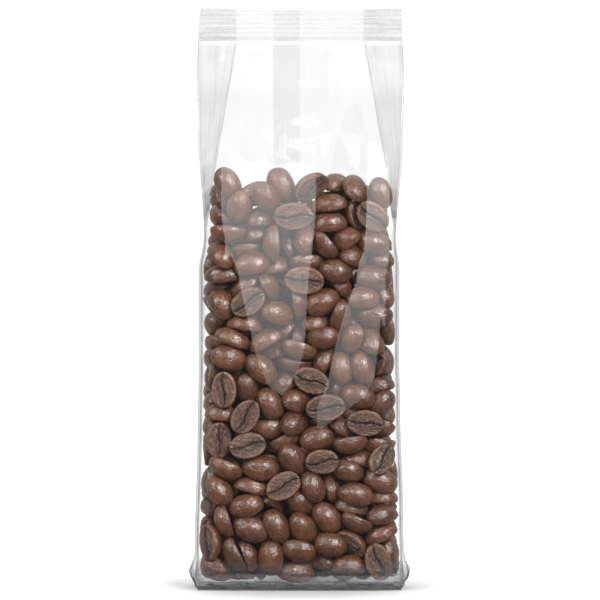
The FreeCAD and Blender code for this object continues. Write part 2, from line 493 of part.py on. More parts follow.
    (-22.44, 8.35, 87.59, 0.9157, -0.3919, -0.0636, 0.0620, 3),
    (14.76, 10.43, 104.66, 0.8283, 0.4367, -0.3142, 0.1564, 3),
    (-10.22, 8.89, 80.25, -0.1145, 0.0038, 0.9904, 0.0774, 3),
    (-8.45, 8.84, 23.41, 0.3262, 0.6793, -0.6316, 0.1826, 1),
    (25.63, 8.45, 26.38, -0.1169, 0.1957, 0.9097, -0.3472, 3),
    (-26.00, 6.95, 7.05, 0.0049, 0.9717, 0.1110, -0.2084, 3),
    (-24.36, 7.99, 45.11, -0.2125, -0.0048, 0.9772, 0.0017, 1),
    (-1.44, 8.98, 99.17, 0.9678, -0.1471, 0.0458, 0.1993, 0),
    (-5.84, 11.89, 110.13, -0.4095, -0.4380, 0.5706, -0.5611, 2),
    (12.14, 7.98, 13.62, -0.2445, 0.2626, 0.9206, -0.1543, 2),
    (24.74, 7.75, 73.15, 0.2272, 0.0516, 0.4093, 0.8821, 0),
    (-1.02, 8.65, 59.39, 0.7805, -0.1024, -0.6071, 0.1079, 3),
    (23.72, 10.85, 57.85, -0.2095, -0.0110, 0.7219, -0.6594, 3),
    (26.27, 6.91, 43.64, 0.2864, 0.6507, -0.3546, 0.6073, 2),
    (8.09, 6.81, 6.64, 0.4192, 0.4666, 0.6531, 0.4243, 1),
    (-12.48, 8.92, 15.67, 0.0048, 0.0922, 0.1214, 0.9883, 0),
    (-2.06, 9.10, 46.83, 0.4082, 0.8632, 0.2275, 0.1911, 2),
    (6.94, 9.07, 29.95, 0.1802, 0.9670, 0.1789, 0.0216, 0),
    (4.13, 11.99, 22.96, 0.1987, 0.2127, -0.6740, 0.6790, 1),
    (-24.79, 7.94, 70.48, -0.1230, -0.1416, 0.5384, 0.8216, 1),
    (11.48, 9.09, 74.71, 0.8885, 0.2992, -0.3435, -0.0548, 3),
    (15.07, 8.76, 115.19, -0.0511, 0.7266, 0.1384, 0.6710, 2),
    (5.45, 9.08, 103.14, -0.2459, 0.7258, 0.0519, 0.6404, 0),
    (2.00, 8.17, 10.57, 0.9841, -0.0982, 0.0346, 0.1439, 3),
    (-16.79, 8.87, 99.41, -0.2560, 0.0190, 0.7624, 0.5940, 1),
    (3.19, 8.71, 54.68, -0.2442, 0.9182, 0.2588, 0.1743, 2),
    (-10.67, 10.94, 86.19, 0.5222, 0.8527, 0.0110, 0.0058, 3),
    (-6.46, 8.80, 34.16, 0.7429, -0.2527, -0.6153, 0.0750, 1),
    (-25.97, 7.37, 13.29, -0.4931, 0.0159, 0.8640, -0.1002, 1),
    (18.69, 9.33, 45.41, 0.4459, 0.8524, -0.2571, -0.0917, 2),
    (-15.96, 9.39, 37.45, 0.9189, 0.2888, 0.2682, 0.0162, 2),
    (-2.73, 8.95, 17.01, 0.7786, -0.2938, -0.5445, -0.1054, 1),
    (-14.17, 8.12, 49.32, 0.5788, -0.2641, -0.0538, -0.7696, 0),
    (-0.55, 9.14, 87.34, 0.5392, -0.0416, -0.8319, -0.1240, 1),
    (-9.54, 10.29, 65.04, 0.1000, 0.3793, -0.4474, 0.8037, 3),
    (24.77, 10.67, 91.28, 0.6329, 0.5229, -0.4930, 0.2882, 0),
    (-13.54, 8.57, 6.63, 0.1965, 0.9743, -0.0358, 0.1045, 0),
    (24.24, 9.44, 65.46, 0.8678, 0.4315, -0.2465, -0.0054, 3),
    (17.67, 11.82, 30.90, 0.6706, 0.6710, -0.2413, 0.2045, 2),
    (-5.13, 11.98, 50.05, 0.6231, 0.6208, -0.3445, 0.3283, 1),
    (-26.08, 10.58, 21.62, 0.2221, -0.0263, 0.7116, -0.6660, 0),
    (15.71, 9.05, 75.57, -0.2708, 0.8828, -0.0104, 0.3837, 0),
    (-23.73, 11.05, 59.01, 0.7065, 0.6850, 0.1775, -0.0123, 3),
    (24.42, 10.59, 81.19, 0.6845, 0.6190, -0.3633, 0.1279, 2),
    (12.46, 8.65, 18.03, 0.9706, -0.1705, -0.0506, 0.1619, 2),
    (-17.23, 8.47, 44.24, -0.2601, 0.2289, 0.1265, 0.9295, 3),
    (-18.43, 8.24, 10.41, 0.7827, -0.3311, -0.5264, 0.0269, 1),
    (-14.49, 9.02, 73.70, -0.2897, 0.9501, -0.0540, 0.1021, 1),
    (-19.12, 7.74, 52.08, 0.6035, 0.1804, -0.4579, -0.6274, 0),
    (2.19, 8.69, 108.14, 0.6430, -0.0663, -0.7629, 0.0077, 3),
    (13.48, 8.91, 53.44, -0.3233, -0.2291, 0.9038, -0.1614, 3),
    (-18.20, 8.97, 22.85, -0.0226, 0.2489, -0.1215, 0.9606, 1),
    (26.39, 7.03, 16.96, 0.7926, -0.3552, -0.3058, -0.3899, 3),
    (-14.21, 9.17, 93.74, 0.0064, -0.0421, 0.9902, 0.1328, 0),
    (-2.46, 8.81, 38.81, 0.8784, 0.3216, 0.1209, 0.3323, 0),
    (11.86, 7.96, 23.37, 0.8917, 0.0786, -0.0243, 0.4451, 1),
    (1.63, 7.61, 5.45, -0.3790, 0.2114, -0.3026, 0.8486, 0),
    (8.24, 11.88, 111.33, 0.0708, 0.0964, -0.7018, 0.7023, 1),
    (10.02, 9.04, 66.31, -0.0194, -0.3920, 0.2479, 0.8857, 1),
    (-4.10, 7.75, 25.67, 0.7922, -0.3836, 0.0535, -0.4716, 3),
    (7.13, 11.97, 82.43, -0.2027, -0.2324, 0.6736, -0.6717, 0),
    (-19.43, 9.80, 66.65, 0.4208, 0.8956, 0.1246, 0.0729, 2),
    (-26.00, 10.43, 79.16, 0.4625, 0.6472, -0.3011, 0.5259, 0),
    (3.64, 9.12, 92.22, 0.5487, -0.4330, -0.5079, -0.5035, 2),
    (-5.13, 8.80, 120.97, 0.5044, -0.3571, -0.5528, -0.5589, 2),
    (18.60, 8.43, 21.00, 0.7872, 0.3324, 0.4882, 0.1772, 0),
    (7.42, 9.16, 35.69, -0.0944, -0.1556, 0.9579, -0.2222, 3),
    (26.45, 7.39, 12.63, 0.2637, 0.3941, 0.8285, -0.2980, 3),
    (-9.52, 7.89, 55.64, 0.4453, 0.7008, 0.2312, 0.5070, 0),
    (-24.21, 10.95, 95.77, 0.7025, 0.6400, 0.2883, -0.1178, 0),
    (17.05, 8.56, 95.86, 0.6446, -0.6029, 0.4308, 0.1883, 3),
    (-14.05, 11.84, 107.59, 0.3526, 0.3917, -0.6008, 0.6010, 2),
    (-4.53, 11.96, 71.94, -0.2366, -0.2274, 0.6732, -0.6626, 3),
    (-24.44, 10.92, 37.16, 0.1581, -0.0227, 0.7366, -0.6572, 2),
    (10.21, 11.65, 120.60, 0.4824, 0.5259, -0.5129, 0.4771, 0),
    (22.97, 10.92, 112.53, 0.5533, 0.4416, -0.5593, 0.4314, 3),
    (-11.24, 8.15, 9.88, 0.9771, -0.1635, -0.1071, 0.0836, 3),
    (-12.86, 11.96, 29.25, -0.3718, -0.4048, 0.5927, -0.5887, 3),
    (27.19, 9.76, 32.68, 0.6735, 0.4529, -0.5462, 0.2072, 1),
    (8.18, 11.97, 47.75, 0.1627, 0.1903, -0.6833, 0.6859, 0),
    (2.44, 7.43, 16.13, 0.8606, -0.0551, 0.0700, 0.5015, 1),
    (1.98, 10.22, 78.53, -0.0676, 0.1302, 0.8756, -0.4601, 2),
    (22.98, 10.98, 101.66, -0.2718, -0.1153, 0.7261, -0.6209, 3),
    (4.38, 8.93, 68.82, 0.7445, -0.0702, -0.6548, -0.1095, 3),
    (-20.15, 8.48, 16.33, 0.9097, -0.0873, -0.3927, 0.1032, 1),
    (-4.08, 9.20, 93.20, 0.9461, -0.0791, -0.3117, -0.0391, 0),
    (23.31, 11.14, 49.22, 0.6833, 0.7214, -0.0551, -0.0983, 1),
    (6.03, 9.17, 42.30, 0.5735, 0.4838, -0.6566, 0.0761, 2),
    (15.23, 8.45, 55.66, 0.8746, -0.2863, 0.1901, -0.3421, 0),
    (-0.62, 11.98, 32.65, -0.4374, -0.4424, 0.5544, -0.5528, 0),
    (-17.58, 8.71, 31.16, -0.3609, 0.2095, 0.6561, -0.6288, 0),
    (-20.38, 9.48, 79.55, 0.2278, 0.6876, -0.2166, 0.6545, 2),
    (21.19, 9.01, 36.85, 0.7645, 0.2963, -0.3073, 0.4829, 2),
    (-12.79, 8.97, 117.27, 0.6067, -0.5685, 0.4447, 0.3331, 1),
    (17.17, 11.12, 6.87, 0.7413, 0.6705, -0.0299, -0.0045, 3),
    (4.04, 8.80, 57.95, 0.7456, 0.2303, -0.2491, 0.5735, 1),
    (16.41, 9.01, 69.43, 0.0877, 0.9054, -0.2373, 0.3409, 0),
    (-25.59, 7.77, 51.67, -0.4166, -0.0255, 0.8553, 0.3070, 1),
    (-7.83, 9.09, 99.79, 0.7605, -0.0774, -0.6359, -0.1057, 1),
    (-23.12, 11.13, 105.62, 0.5672, 0.6701, -0.2865, 0.3837, 1),
    (16.97, 7.64, 13.42, -0.3275, 0.2475, -0.0689, 0.9093, 2),
    (16.58, 9.86, 84.84, 0.3295, 0.7828, -0.2718, 0.4526, 3),
    (-3.13, -1.30, 61.50, 0.6116, 0.6400, -0.1071, 0.4526, 0),
    (19.94, 1.89, 7.46, -0.2190, 0.7086, -0.6421, -0.1939, 3),
    (-27.53, 1.48, 8.41, -0.4101, -0.3761, -0.5134, 0.6533, 3),
    (-10.23, 3.53, 111.40, 0.9016, -0.2185, -0.2149, -0.3053, 0),
    (21.05, 1.88, 90.31, 0.5328, -0.1024, 0.4961, 0.6779, 2),
    (21.90, 2.43, 32.34, -0.0238, 0.7773, -0.5908, 0.2149, 0),
    (-20.81, 2.49, 87.90, 0.0862, 0.7284, 0.4077, -0.5438, 3),
    (-17.48, 4.01, 39.48, -0.4018, -0.2959, -0.6117, 0.6138, 1),
    (4.02, -5.31, 18.16, -0.2455, 0.4017, 0.6924, 0.5467, 3),
    (23.11, 2.09, 61.02, 0.1266, -0.1890, -0.1290, 0.9652, 2),
    (11.37, 2.95, 113.01, 0.5984, 0.3774, -0.1905, -0.6806, 2),
    (-18.90, -2.86, 25.12, 0.4071, 0.8582, -0.1925, 0.2465, 3),
    (8.77, 2.26, 82.51, 0.2885, 0.7174, 0.4116, -0.4824, 2),
    (-15.92, 4.77, 60.24, -0.4124, -0.3330, 0.6249, -0.5732, 3),
    (3.69, -0.46, 7.28, -0.4475, 0.8126, 0.3523, 0.1238, 2),
    (11.24, -3.24, 45.94, 0.3903, -0.2645, 0.0800, 0.8782, 0),
    (-21.37, -0.17, 105.27, -0.4795, 0.8606, -0.1185, -0.1240, 0),
    (20.42, 2.61, 80.14, 0.1639, -0.1528, 0.8545, 0.4686, 2),
    (-5.85, 0.51, 45.58, 0.6997, -0.6395, 0.1403, -0.2860, 0),
    (-3.57, 0.94, 97.87, -0.0685, -0.4936, 0.8622, 0.0905, 1),
    (-0.41, -2.94, 32.07, 0.8330, 0.4312, 0.3188, 0.1364, 1),
    (-14.27, 2.37, 74.95, 0.0678, -0.6324, 0.2067, 0.7435, 0),
    (14.93, -1.31, 19.87, 0.2164, 0.1180, 0.9661, -0.0770, 0),
    (-9.21, -3.64, 14.65, 0.2012, 0.8866, -0.2713, 0.3161, 1),
    (21.52, 6.01, 107.92, 0.6536, 0.7316, 0.1935, -0.0133, 1),
    (-14.56, 3.13, 88.68, -0.2341, -0.3760, 0.8671, -0.2278, 0),
    (4.70, -0.83, 96.50, 0.5797, -0.6912, -0.2925, 0.3172, 0),
    (9.87, 0.08, 28.47, 0.6062, -0.7334, -0.0068, 0.3075, 1),
    (19.00, -0.83, 47.12, 0.6359, -0.2397, -0.5941, -0.4303, 1),
    (-16.31, -0.32, 48.78, 0.7625, -0.3076, 0.2134, 0.5277, 2),
    (-19.60, 2.19, 73.45, 0.2927, -0.5971, -0.4459, 0.5991, 2),
    (-24.81, 2.18, 20.09, -0.1111, 0.4414, 0.4428, 0.7725, 2),
    (11.53, -1.20, 11.56, -0.4051, 0.2574, 0.0369, 0.8765, 1),
    (7.44, 1.69, 72.75, -0.1778, 0.7501, -0.3112, -0.5558, 0),
    (13.27, -3.48, 6.99, -0.0993, 0.4477, 0.8781, 0.1366, 3),
    (-10.53, -0.98, 5.98, 0.6941, -0.2845, -0.3272, 0.5747, 2),
    (14.67, 0.10, 58.90, -0.3923, 0.1681, 0.8754, 0.2270, 3),
    (3.74, -0.09, 110.42, 0.6864, 0.0277, -0.3660, -0.6278, 1),
    (-13.68, 0.05, 27.75, 0.8895, -0.4171, -0.1851, 0.0253, 2),
    (-19.04, -1.28, 122.99, -0.2159, 0.5908, -0.5341, -0.5648, 3),
    (2.10, -1.37, 116.21, 0.9297, -0.1155, 0.0146, 0.3494, 3),
    (-12.71, 0.83, 33.23, -0.3095, 0.0461, 0.1147, 0.9428, 1),
    (22.65, 9.12, 121.66, 0.8423, 0.5352, 0.0270, -0.0577, 2),
    (10.10, 4.21, 83.32, -0.3838, 0.5066, 0.2646, 0.7253, 0),
    (-22.16, -2.91, 38.09, 0.7948, -0.4495, 0.3943, 0.1036, 0),
    (19.18, -2.99, 11.08, 0.5292, -0.6988, 0.2817, -0.3901, 0),
    (-11.48, 4.21, 107.60, 0.2424, 0.3145, 0.8956, -0.2008, 1),
    (1.26, 0.29, 53.96, -0.2375, 0.0333, 0.4109, 0.8796, 0),
    (-11.87, 2.35, 94.69, -0.0695, -0.3955, 0.8327, -0.3812, 3),
    (15.27, 3.70, 67.38, 0.3595, 0.8772, 0.0345, -0.3164, 1),
    (9.81, -1.02, 38.85, 0.5115, 0.0183, 0.2126, 0.8324, 2),
    (-22.91, 0.49, 58.62, 0.5708, 0.2262, 0.7387, 0.2783, 0),
    (-19.70, -1.68, 68.07, 0.4427, 0.6078, 0.6020, -0.2686, 2),
    (2.20, 2.51, 25.40, 0.1020, 0.5679, 0.0801, 0.8128, 1),
    (11.42, 3.71, 93.35, 0.3336, 0.8719, -0.1846, 0.3072, 0),
    (-9.26, -0.10, 82.57, 0.5054, 0.2542, -0.5001, -0.6556, 3),
    (2.60, 0.97, 45.83, -0.1580, 0.4847, 0.7120, 0.4829, 0),
    (19.63, -0.74, 85.16, 0.6045, -0.7079, 0.1868, -0.3140, 0),
    (-1.41, -1.16, 13.40, 0.5860, -0.0999, 0.4531, -0.6643, 0),
    (-11.05, -5.76, 38.94, 0.7213, -0.6742, -0.0283, -0.1561, 1),
    (-11.26, -1.31, 42.58, 0.6480, -0.3908, 0.4482, 0.4759, 1),
    (10.71, 0.63, 103.00, 0.2297, -0.1108, 0.9031, -0.3455, 3),
    (5.89, -1.82, 58.27, 0.6631, -0.3465, 0.1087, -0.6546, 2),
    (19.46, -2.46, 71.72, 0.3067, 0.6724, 0.1350, -0.6600, 2),
    (9.95, -2.01, 23.76, 0.2147, 0.7945, 0.5290, -0.2072, 0),
    (-6.34, 0.45, 36.23, 0.6736, 0.1617, 0.6942, 0.1955, 3),
    (-3.80, 2.07, 104.86, 0.5064, -0.4076, 0.6837, 0.3316, 1),
    (-12.00, -3.53, 20.06, 0.5646, 0.7697, -0.2216, 0.1992, 3),
    (27.68, -0.38, 8.98, -0.4597, 0.7534, -0.1456, -0.4471, 1),
    (17.05, -4.05, 56.56, -0.3843, 0.1992, -0.3799, 0.8175, 0),
    (19.03, -0.01, 24.99, -0.1353, -0.0137, 0.5399, 0.8306, 2),
    (0.12, -1.08, 70.65, -0.3420, 0.3980, 0.6159, 0.5876, 0),
    (-13.43, 2.85, 98.65, 0.4906, -0.1416, 0.4537, 0.7303, 3),
    (-19.11, 0.13, 82.17, -0.0565, 0.1375, 0.9345, -0.3233, 0),
    (20.01, 3.34, 38.09, 0.8149, 0.5272, 0.2045, -0.1274, 1),
    (-18.26, 0.81, 8.95, 0.7550, -0.1558, 0.4134, 0.4845, 1),
    (5.97, 1.36, 65.93, -0.0919, 0.9869, -0.1155, 0.0649, 0),
    (-3.36, -0.73, 7.71, -0.0095, -0.4847, 0.4725, 0.7361, 2),
    (-6.04, 4.50, 65.99, 0.2708, 0.7798, -0.3327, 0.4560, 3),
    (-20.40, -0.23, 28.34, 0.3949, -0.5267, -0.1252, 0.7423, 2),
    (-19.57, -1.16, 3.78, 0.2936, 0.0142, -0.0006, 0.9558, 0),
    (-18.72, -3.64, 44.37, 0.7719, -0.0780, 0.5726, 0.2650, 1),
    (-24.95, 0.68, 48.17, 0.6574, -0.1343, 0.6888, -0.2745, 3),
    (-6.24, -2.45, 90.52, -0.4150, 0.8757, 0.2426, 0.0459, 0),
    (8.03, -2.97, 89.14, 0.9442, -0.0318, 0.0037, -0.3277, 1),
    (-12.25, -2.57, 54.06, 0.8649, -0.2318, 0.0557, -0.4417, 2),
    (19.85, 4.68, 100.80, 0.1592, 0.2979, 0.7858, -0.5181, 2),
    (-17.99, 4.64, 116.50, 0.9080, 0.3883, 0.0433, 0.1510, 3),
    (22.54, 2.25, 70.75, 0.6911, -0.2461, -0.6739, -0.0875, 1),
    (4.75, 0.46, 107.58, 0.3637, 0.6667, 0.6498, 0.0305, 3),
    (11.64, 3.48, 109.13, -0.1327, 0.8649, -0.1142, 0.4704, 2),
    (1.50, 4.11, 36.38, 0.5209, 0.5848, -0.4892, 0.3839, 2),
    (-21.89, 2.54, 97.48, 0.1965, 0.2477, 0.4418, 0.8395, 1),
    (0.16, -1.81, 123.60, 0.5824, 0.1865, -0.2979, 0.7330, 0),
    (-2.96, 4.35, 115.57, -0.3256, 0.5035, 0.5059, 0.6201, 0),
    (1.74, -3.14, 43.69, 0.6181, 0.6426, -0.3243, 0.3159, 0),
    (-8.32, 5.29, 72.53, 0.6771, 0.6650, -0.0049, 0.3151, 0),
    (-12.78, 1.65, 21.67, -0.1423, 0.4960, 0.7513, 0.4113, 0),
    (-4.87, 1.00, 56.80, 0.7168, -0.2784, -0.5655, -0.2982, 0),
    (-15.96, 1.76, 13.98, 0.9210, -0.2608, 0.2215, -0.1865, 0),
    (-2.97, 3.32, 79.80, -0.2984, 0.6453, 0.5934, 0.3773, 0),
    (6.29, 6.29, 120.92, 0.0400, 0.1089, -0.6742, 0.7294, 0),
    (13.29, -7.80, 70.72, 0.3688, 0.5298, -0.3332, 0.6873, 0),
    (-11.53, -1.58, 65.35, 0.6734, -0.2709, -0.5862, -0.3599, 0),
    (-23.60, 3.49, 33.64, 0.6248, -0.2404, -0.6362, -0.3835, 0),
    (-3.63, 1.44, 21.35, -0.2515, 0.8808, 0.3800, -0.1284, 0),
    (6.05, 2.92, 16.40, 0.2871, 0.6833, -0.4625, 0.4865, 0),
    (-26.56, -6.62, 67.45, 0.6264, -0.2216, -0.6026, -0.4421, 0),
    (13.73, 2.94, 46.71, 0.7305, -0.4644, -0.3948, -0.3081, 0),
    (13.78, -2.50, 119.29, 0.8146, -0.5548, -0.1264, 0.1126, 0),
    (-18.94, 4.81, 110.34, -0.4408, 0.3234, 0.6598, 0.5156, 0),
    (-23.18, -3.88, 15.52, 0.6892, -0.6062, -0.2809, -0.2803, 0),
    (-8.88, -0.40, 120.64, 0.0151, 0.2063, 0.6058, 0.7683, 0),
    (28.86, 0.78, 37.82, 0.6146, 0.2185, -0.7451, 0.1394, 0),
    (-7.83, 4.07, 14.13, 0.4497, 0.4772, -0.4459, 0.6093, 0),
    (2.83, 5.91, 88.34, 0.3215, 0.5518, -0.4909, 0.5926, 0),
    (8.02, 2.07, 52.13, -0.4320, 0.7782, -0.0490, 0.4532, 0),
    (21.31, 3.14, 16.34, 0.3947, 0.3334, -0.5629, 0.6452, 0),
    (-28.70, 4.77, 104.19, 0.2087, 0.7527, -0.0711, 0.6204, 0),
    (10.25, 5.43, 96.65, -0.2228, 0.0834, 0.6062, 0.7589, 0),
    (13.84, 5.50, 33.68, -0.3754, -0.5875, 0.5883, -0.4096, 0),
)


# ---------------------------------------------------------------- beans
def bean(size):
    a = BEAN_A * size * BEAN_FIT
    b = BEAN_B * (0.6 * size + 0.4) * BEAN_FIT
    h = BEAN_H * (0.5 + 0.5 * size) * BEAN_FIT
    low = BEAN_L * BEAN_FIT
    up = Part.makeSphere(1.0, FreeCAD.Vector(0, 0, 0), FreeCAD.Vector(0, 0, 1), 0, 90, 360)
    dn = Part.makeSphere(1.0, FreeCAD.Vector(0, 0, 0), FreeCAD.Vector(0, 0, 1), -90, 0, 360)
    m = FreeCAD.Matrix()
    m.A11, m.A22, m.A33 = a, b, h
    up = up.transformGeometry(m)
    m = FreeCAD.Matrix()
    m.A11, m.A22, m.A33 = a, b, low
    dn = dn.transformGeometry(m)
    g = Part.makeSphere(1.0)
    m = FreeCAD.Matrix()
    m.A11, m.A22, m.A33 = a * 0.93, 0.36, 0.95
    g = g.transformGeometry(m)
    g.translate(FreeCAD.Vector(0, 0, -low))
    body = up.fuse(dn)
    body = body.removeSplitter()
    body = body.cut(g)
    return body.Solids[0]


SIZES = (0.92, 0.96, 1.0, 1.04, 1.08)
MASTERS = [bean(s) for s in SIZES]
z_lo, z_hi = 2.6, 134.0
layers = [[] for _ in range(LAYER_COUNT)]
for row in BEANS:
    x, y, z, qw, qx, qy, qz, k = row
    s = MASTERS[k].copy()
    s.Placement = FreeCAD.Placement(FreeCAD.Vector(x, y, z), FreeCAD.Rotation(qx, qy, qz, qw))
    i = int((z - z_lo) / (z_hi - z_lo) * LAYER_COUNT)
    layers[max(0, min(LAYER_COUNT - 1, i))].append(s)
for i, group in enumerate(layers):
    if group:
        nodes["bean_layer_%02d" % (i + 1)] = Part.makeCompound(group)

# ---------------------------------------------------------------- export
os.makedirs("parts", exist_ok=True)
for name, shape in nodes.items():
    if shape.ShapeType != "Compound" and not shape.isValid():
        print("INVALID", name)
    print(name, shape.ShapeType, len(shape.Solids), round(shape.Volume, 2), [round(v, 2) for v in (shape.BoundBox.XMin, shape.BoundBox.XMax, shape.BoundBox.YMin, shape.BoundBox.YMax, shape.BoundBox.ZMin, shape.BoundBox.ZMax)])
    shape.exportStep("parts/%s.step" % name)
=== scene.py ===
import math

import bpy
import numpy as np
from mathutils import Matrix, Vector


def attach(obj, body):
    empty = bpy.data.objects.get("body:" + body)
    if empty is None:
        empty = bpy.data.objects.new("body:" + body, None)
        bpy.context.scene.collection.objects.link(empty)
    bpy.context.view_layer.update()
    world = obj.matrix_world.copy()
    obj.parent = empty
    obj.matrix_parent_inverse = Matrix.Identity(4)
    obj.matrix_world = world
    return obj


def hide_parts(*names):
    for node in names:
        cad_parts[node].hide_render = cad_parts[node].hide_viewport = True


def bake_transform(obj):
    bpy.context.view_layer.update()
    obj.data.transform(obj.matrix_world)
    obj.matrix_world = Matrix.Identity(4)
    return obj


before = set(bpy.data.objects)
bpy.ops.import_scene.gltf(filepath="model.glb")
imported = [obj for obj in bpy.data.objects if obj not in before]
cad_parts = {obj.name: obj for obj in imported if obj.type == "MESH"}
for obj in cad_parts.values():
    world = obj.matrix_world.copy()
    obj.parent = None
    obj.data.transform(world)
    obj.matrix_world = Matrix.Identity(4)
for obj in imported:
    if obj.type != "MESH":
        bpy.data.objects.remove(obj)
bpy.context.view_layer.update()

RNG = np.random.default_rng(7)

# ------------------------------------------------------------------ sizes, the same as the CAD, in millimetres
BAG_HEIGHT, SEAL_BOTTOM, FOLD_AXIS_Z, PANEL_TOP, PANEL_BOTTOM = 186.5, 175.9, 175.4, 174.5, 1.6
FILM_T, GUSSET_W, FIN_W, FIN_T = 0.16, 12.25, 8.6, 0.32
SEAL_RIB_PITCH, SEAL_RIB_AMP, BASE_SEAL_W, BASE_SEAL_T, CORNER_EASE = 1.45, 0.17, 11.0, 0.45, 1.8
BEAN_A, BEAN_B, BEAN_H, BEAN_L = 6.0, 4.3, 4.25, 1.25
SIZES = (0.92, 0.96, 1.0, 1.04, 1.08)
LAYER_COUNT = 22

OUTLINE = (
    (0.0, -33.92, 33.60), (11.8, -33.92, 33.60), (18.9, -33.92, 33.28), (29.1, -33.60, 33.28),
    (36.8, -33.28, 32.96), (44.5, -33.12, 32.64), (54.1, -32.96, 32.32), (63.7, -32.80, 32.32),
    (69.4, -32.64, 32.00), (104.0, -32.64, 32.00), (104.6, -32.51, 32.00), (107.8, -31.68, 31.36),
    (109.8, -31.36, 31.17), (113.6, -31.04, 31.04), (119.4, -31.23, 31.36), (123.2, -31.36, 31.55),
    (127.0, -31.68, 32.00), (130.9, -32.00, 32.32), (134.7, -32.16, 32.64), (138.6, -32.32, 32.83),
    (144.3, -32.64, 32.83), (152.0, -32.64, 32.96), (157.8, -32.90, 33.28), (165.4, -32.96, 33.28),
    (170.6, -32.96, 33.15), (173.8, -32.77, 32.96), (179.5, -32.64, 32.90), (183.4, -32.45, 32.74),
    (186.5, -32.00, 32.64))
TUCK = ((0.0, 0.0), (104.0, 0.0), (112.0, 0.25), (127.7, 3.5), (140.5, 6.1), (150.0, 8.0), (166.7, 11.1), (174.5, 12.2), (186.5, 12.22))
BULGE = ((0.0, 0.4), (4.0, 0.75), (14.0, 1.5), (90.0, 1.5), (125.0, 1.3), (150.0, 0.75), (168.0, 0.2), (176.0, 0.0))
EASE = ((0.0, 1.0), (98.0, 1.0), (114.0, 0.55), (140.0, 0.15), (160.0, 0.0), (190.0, 0.0))

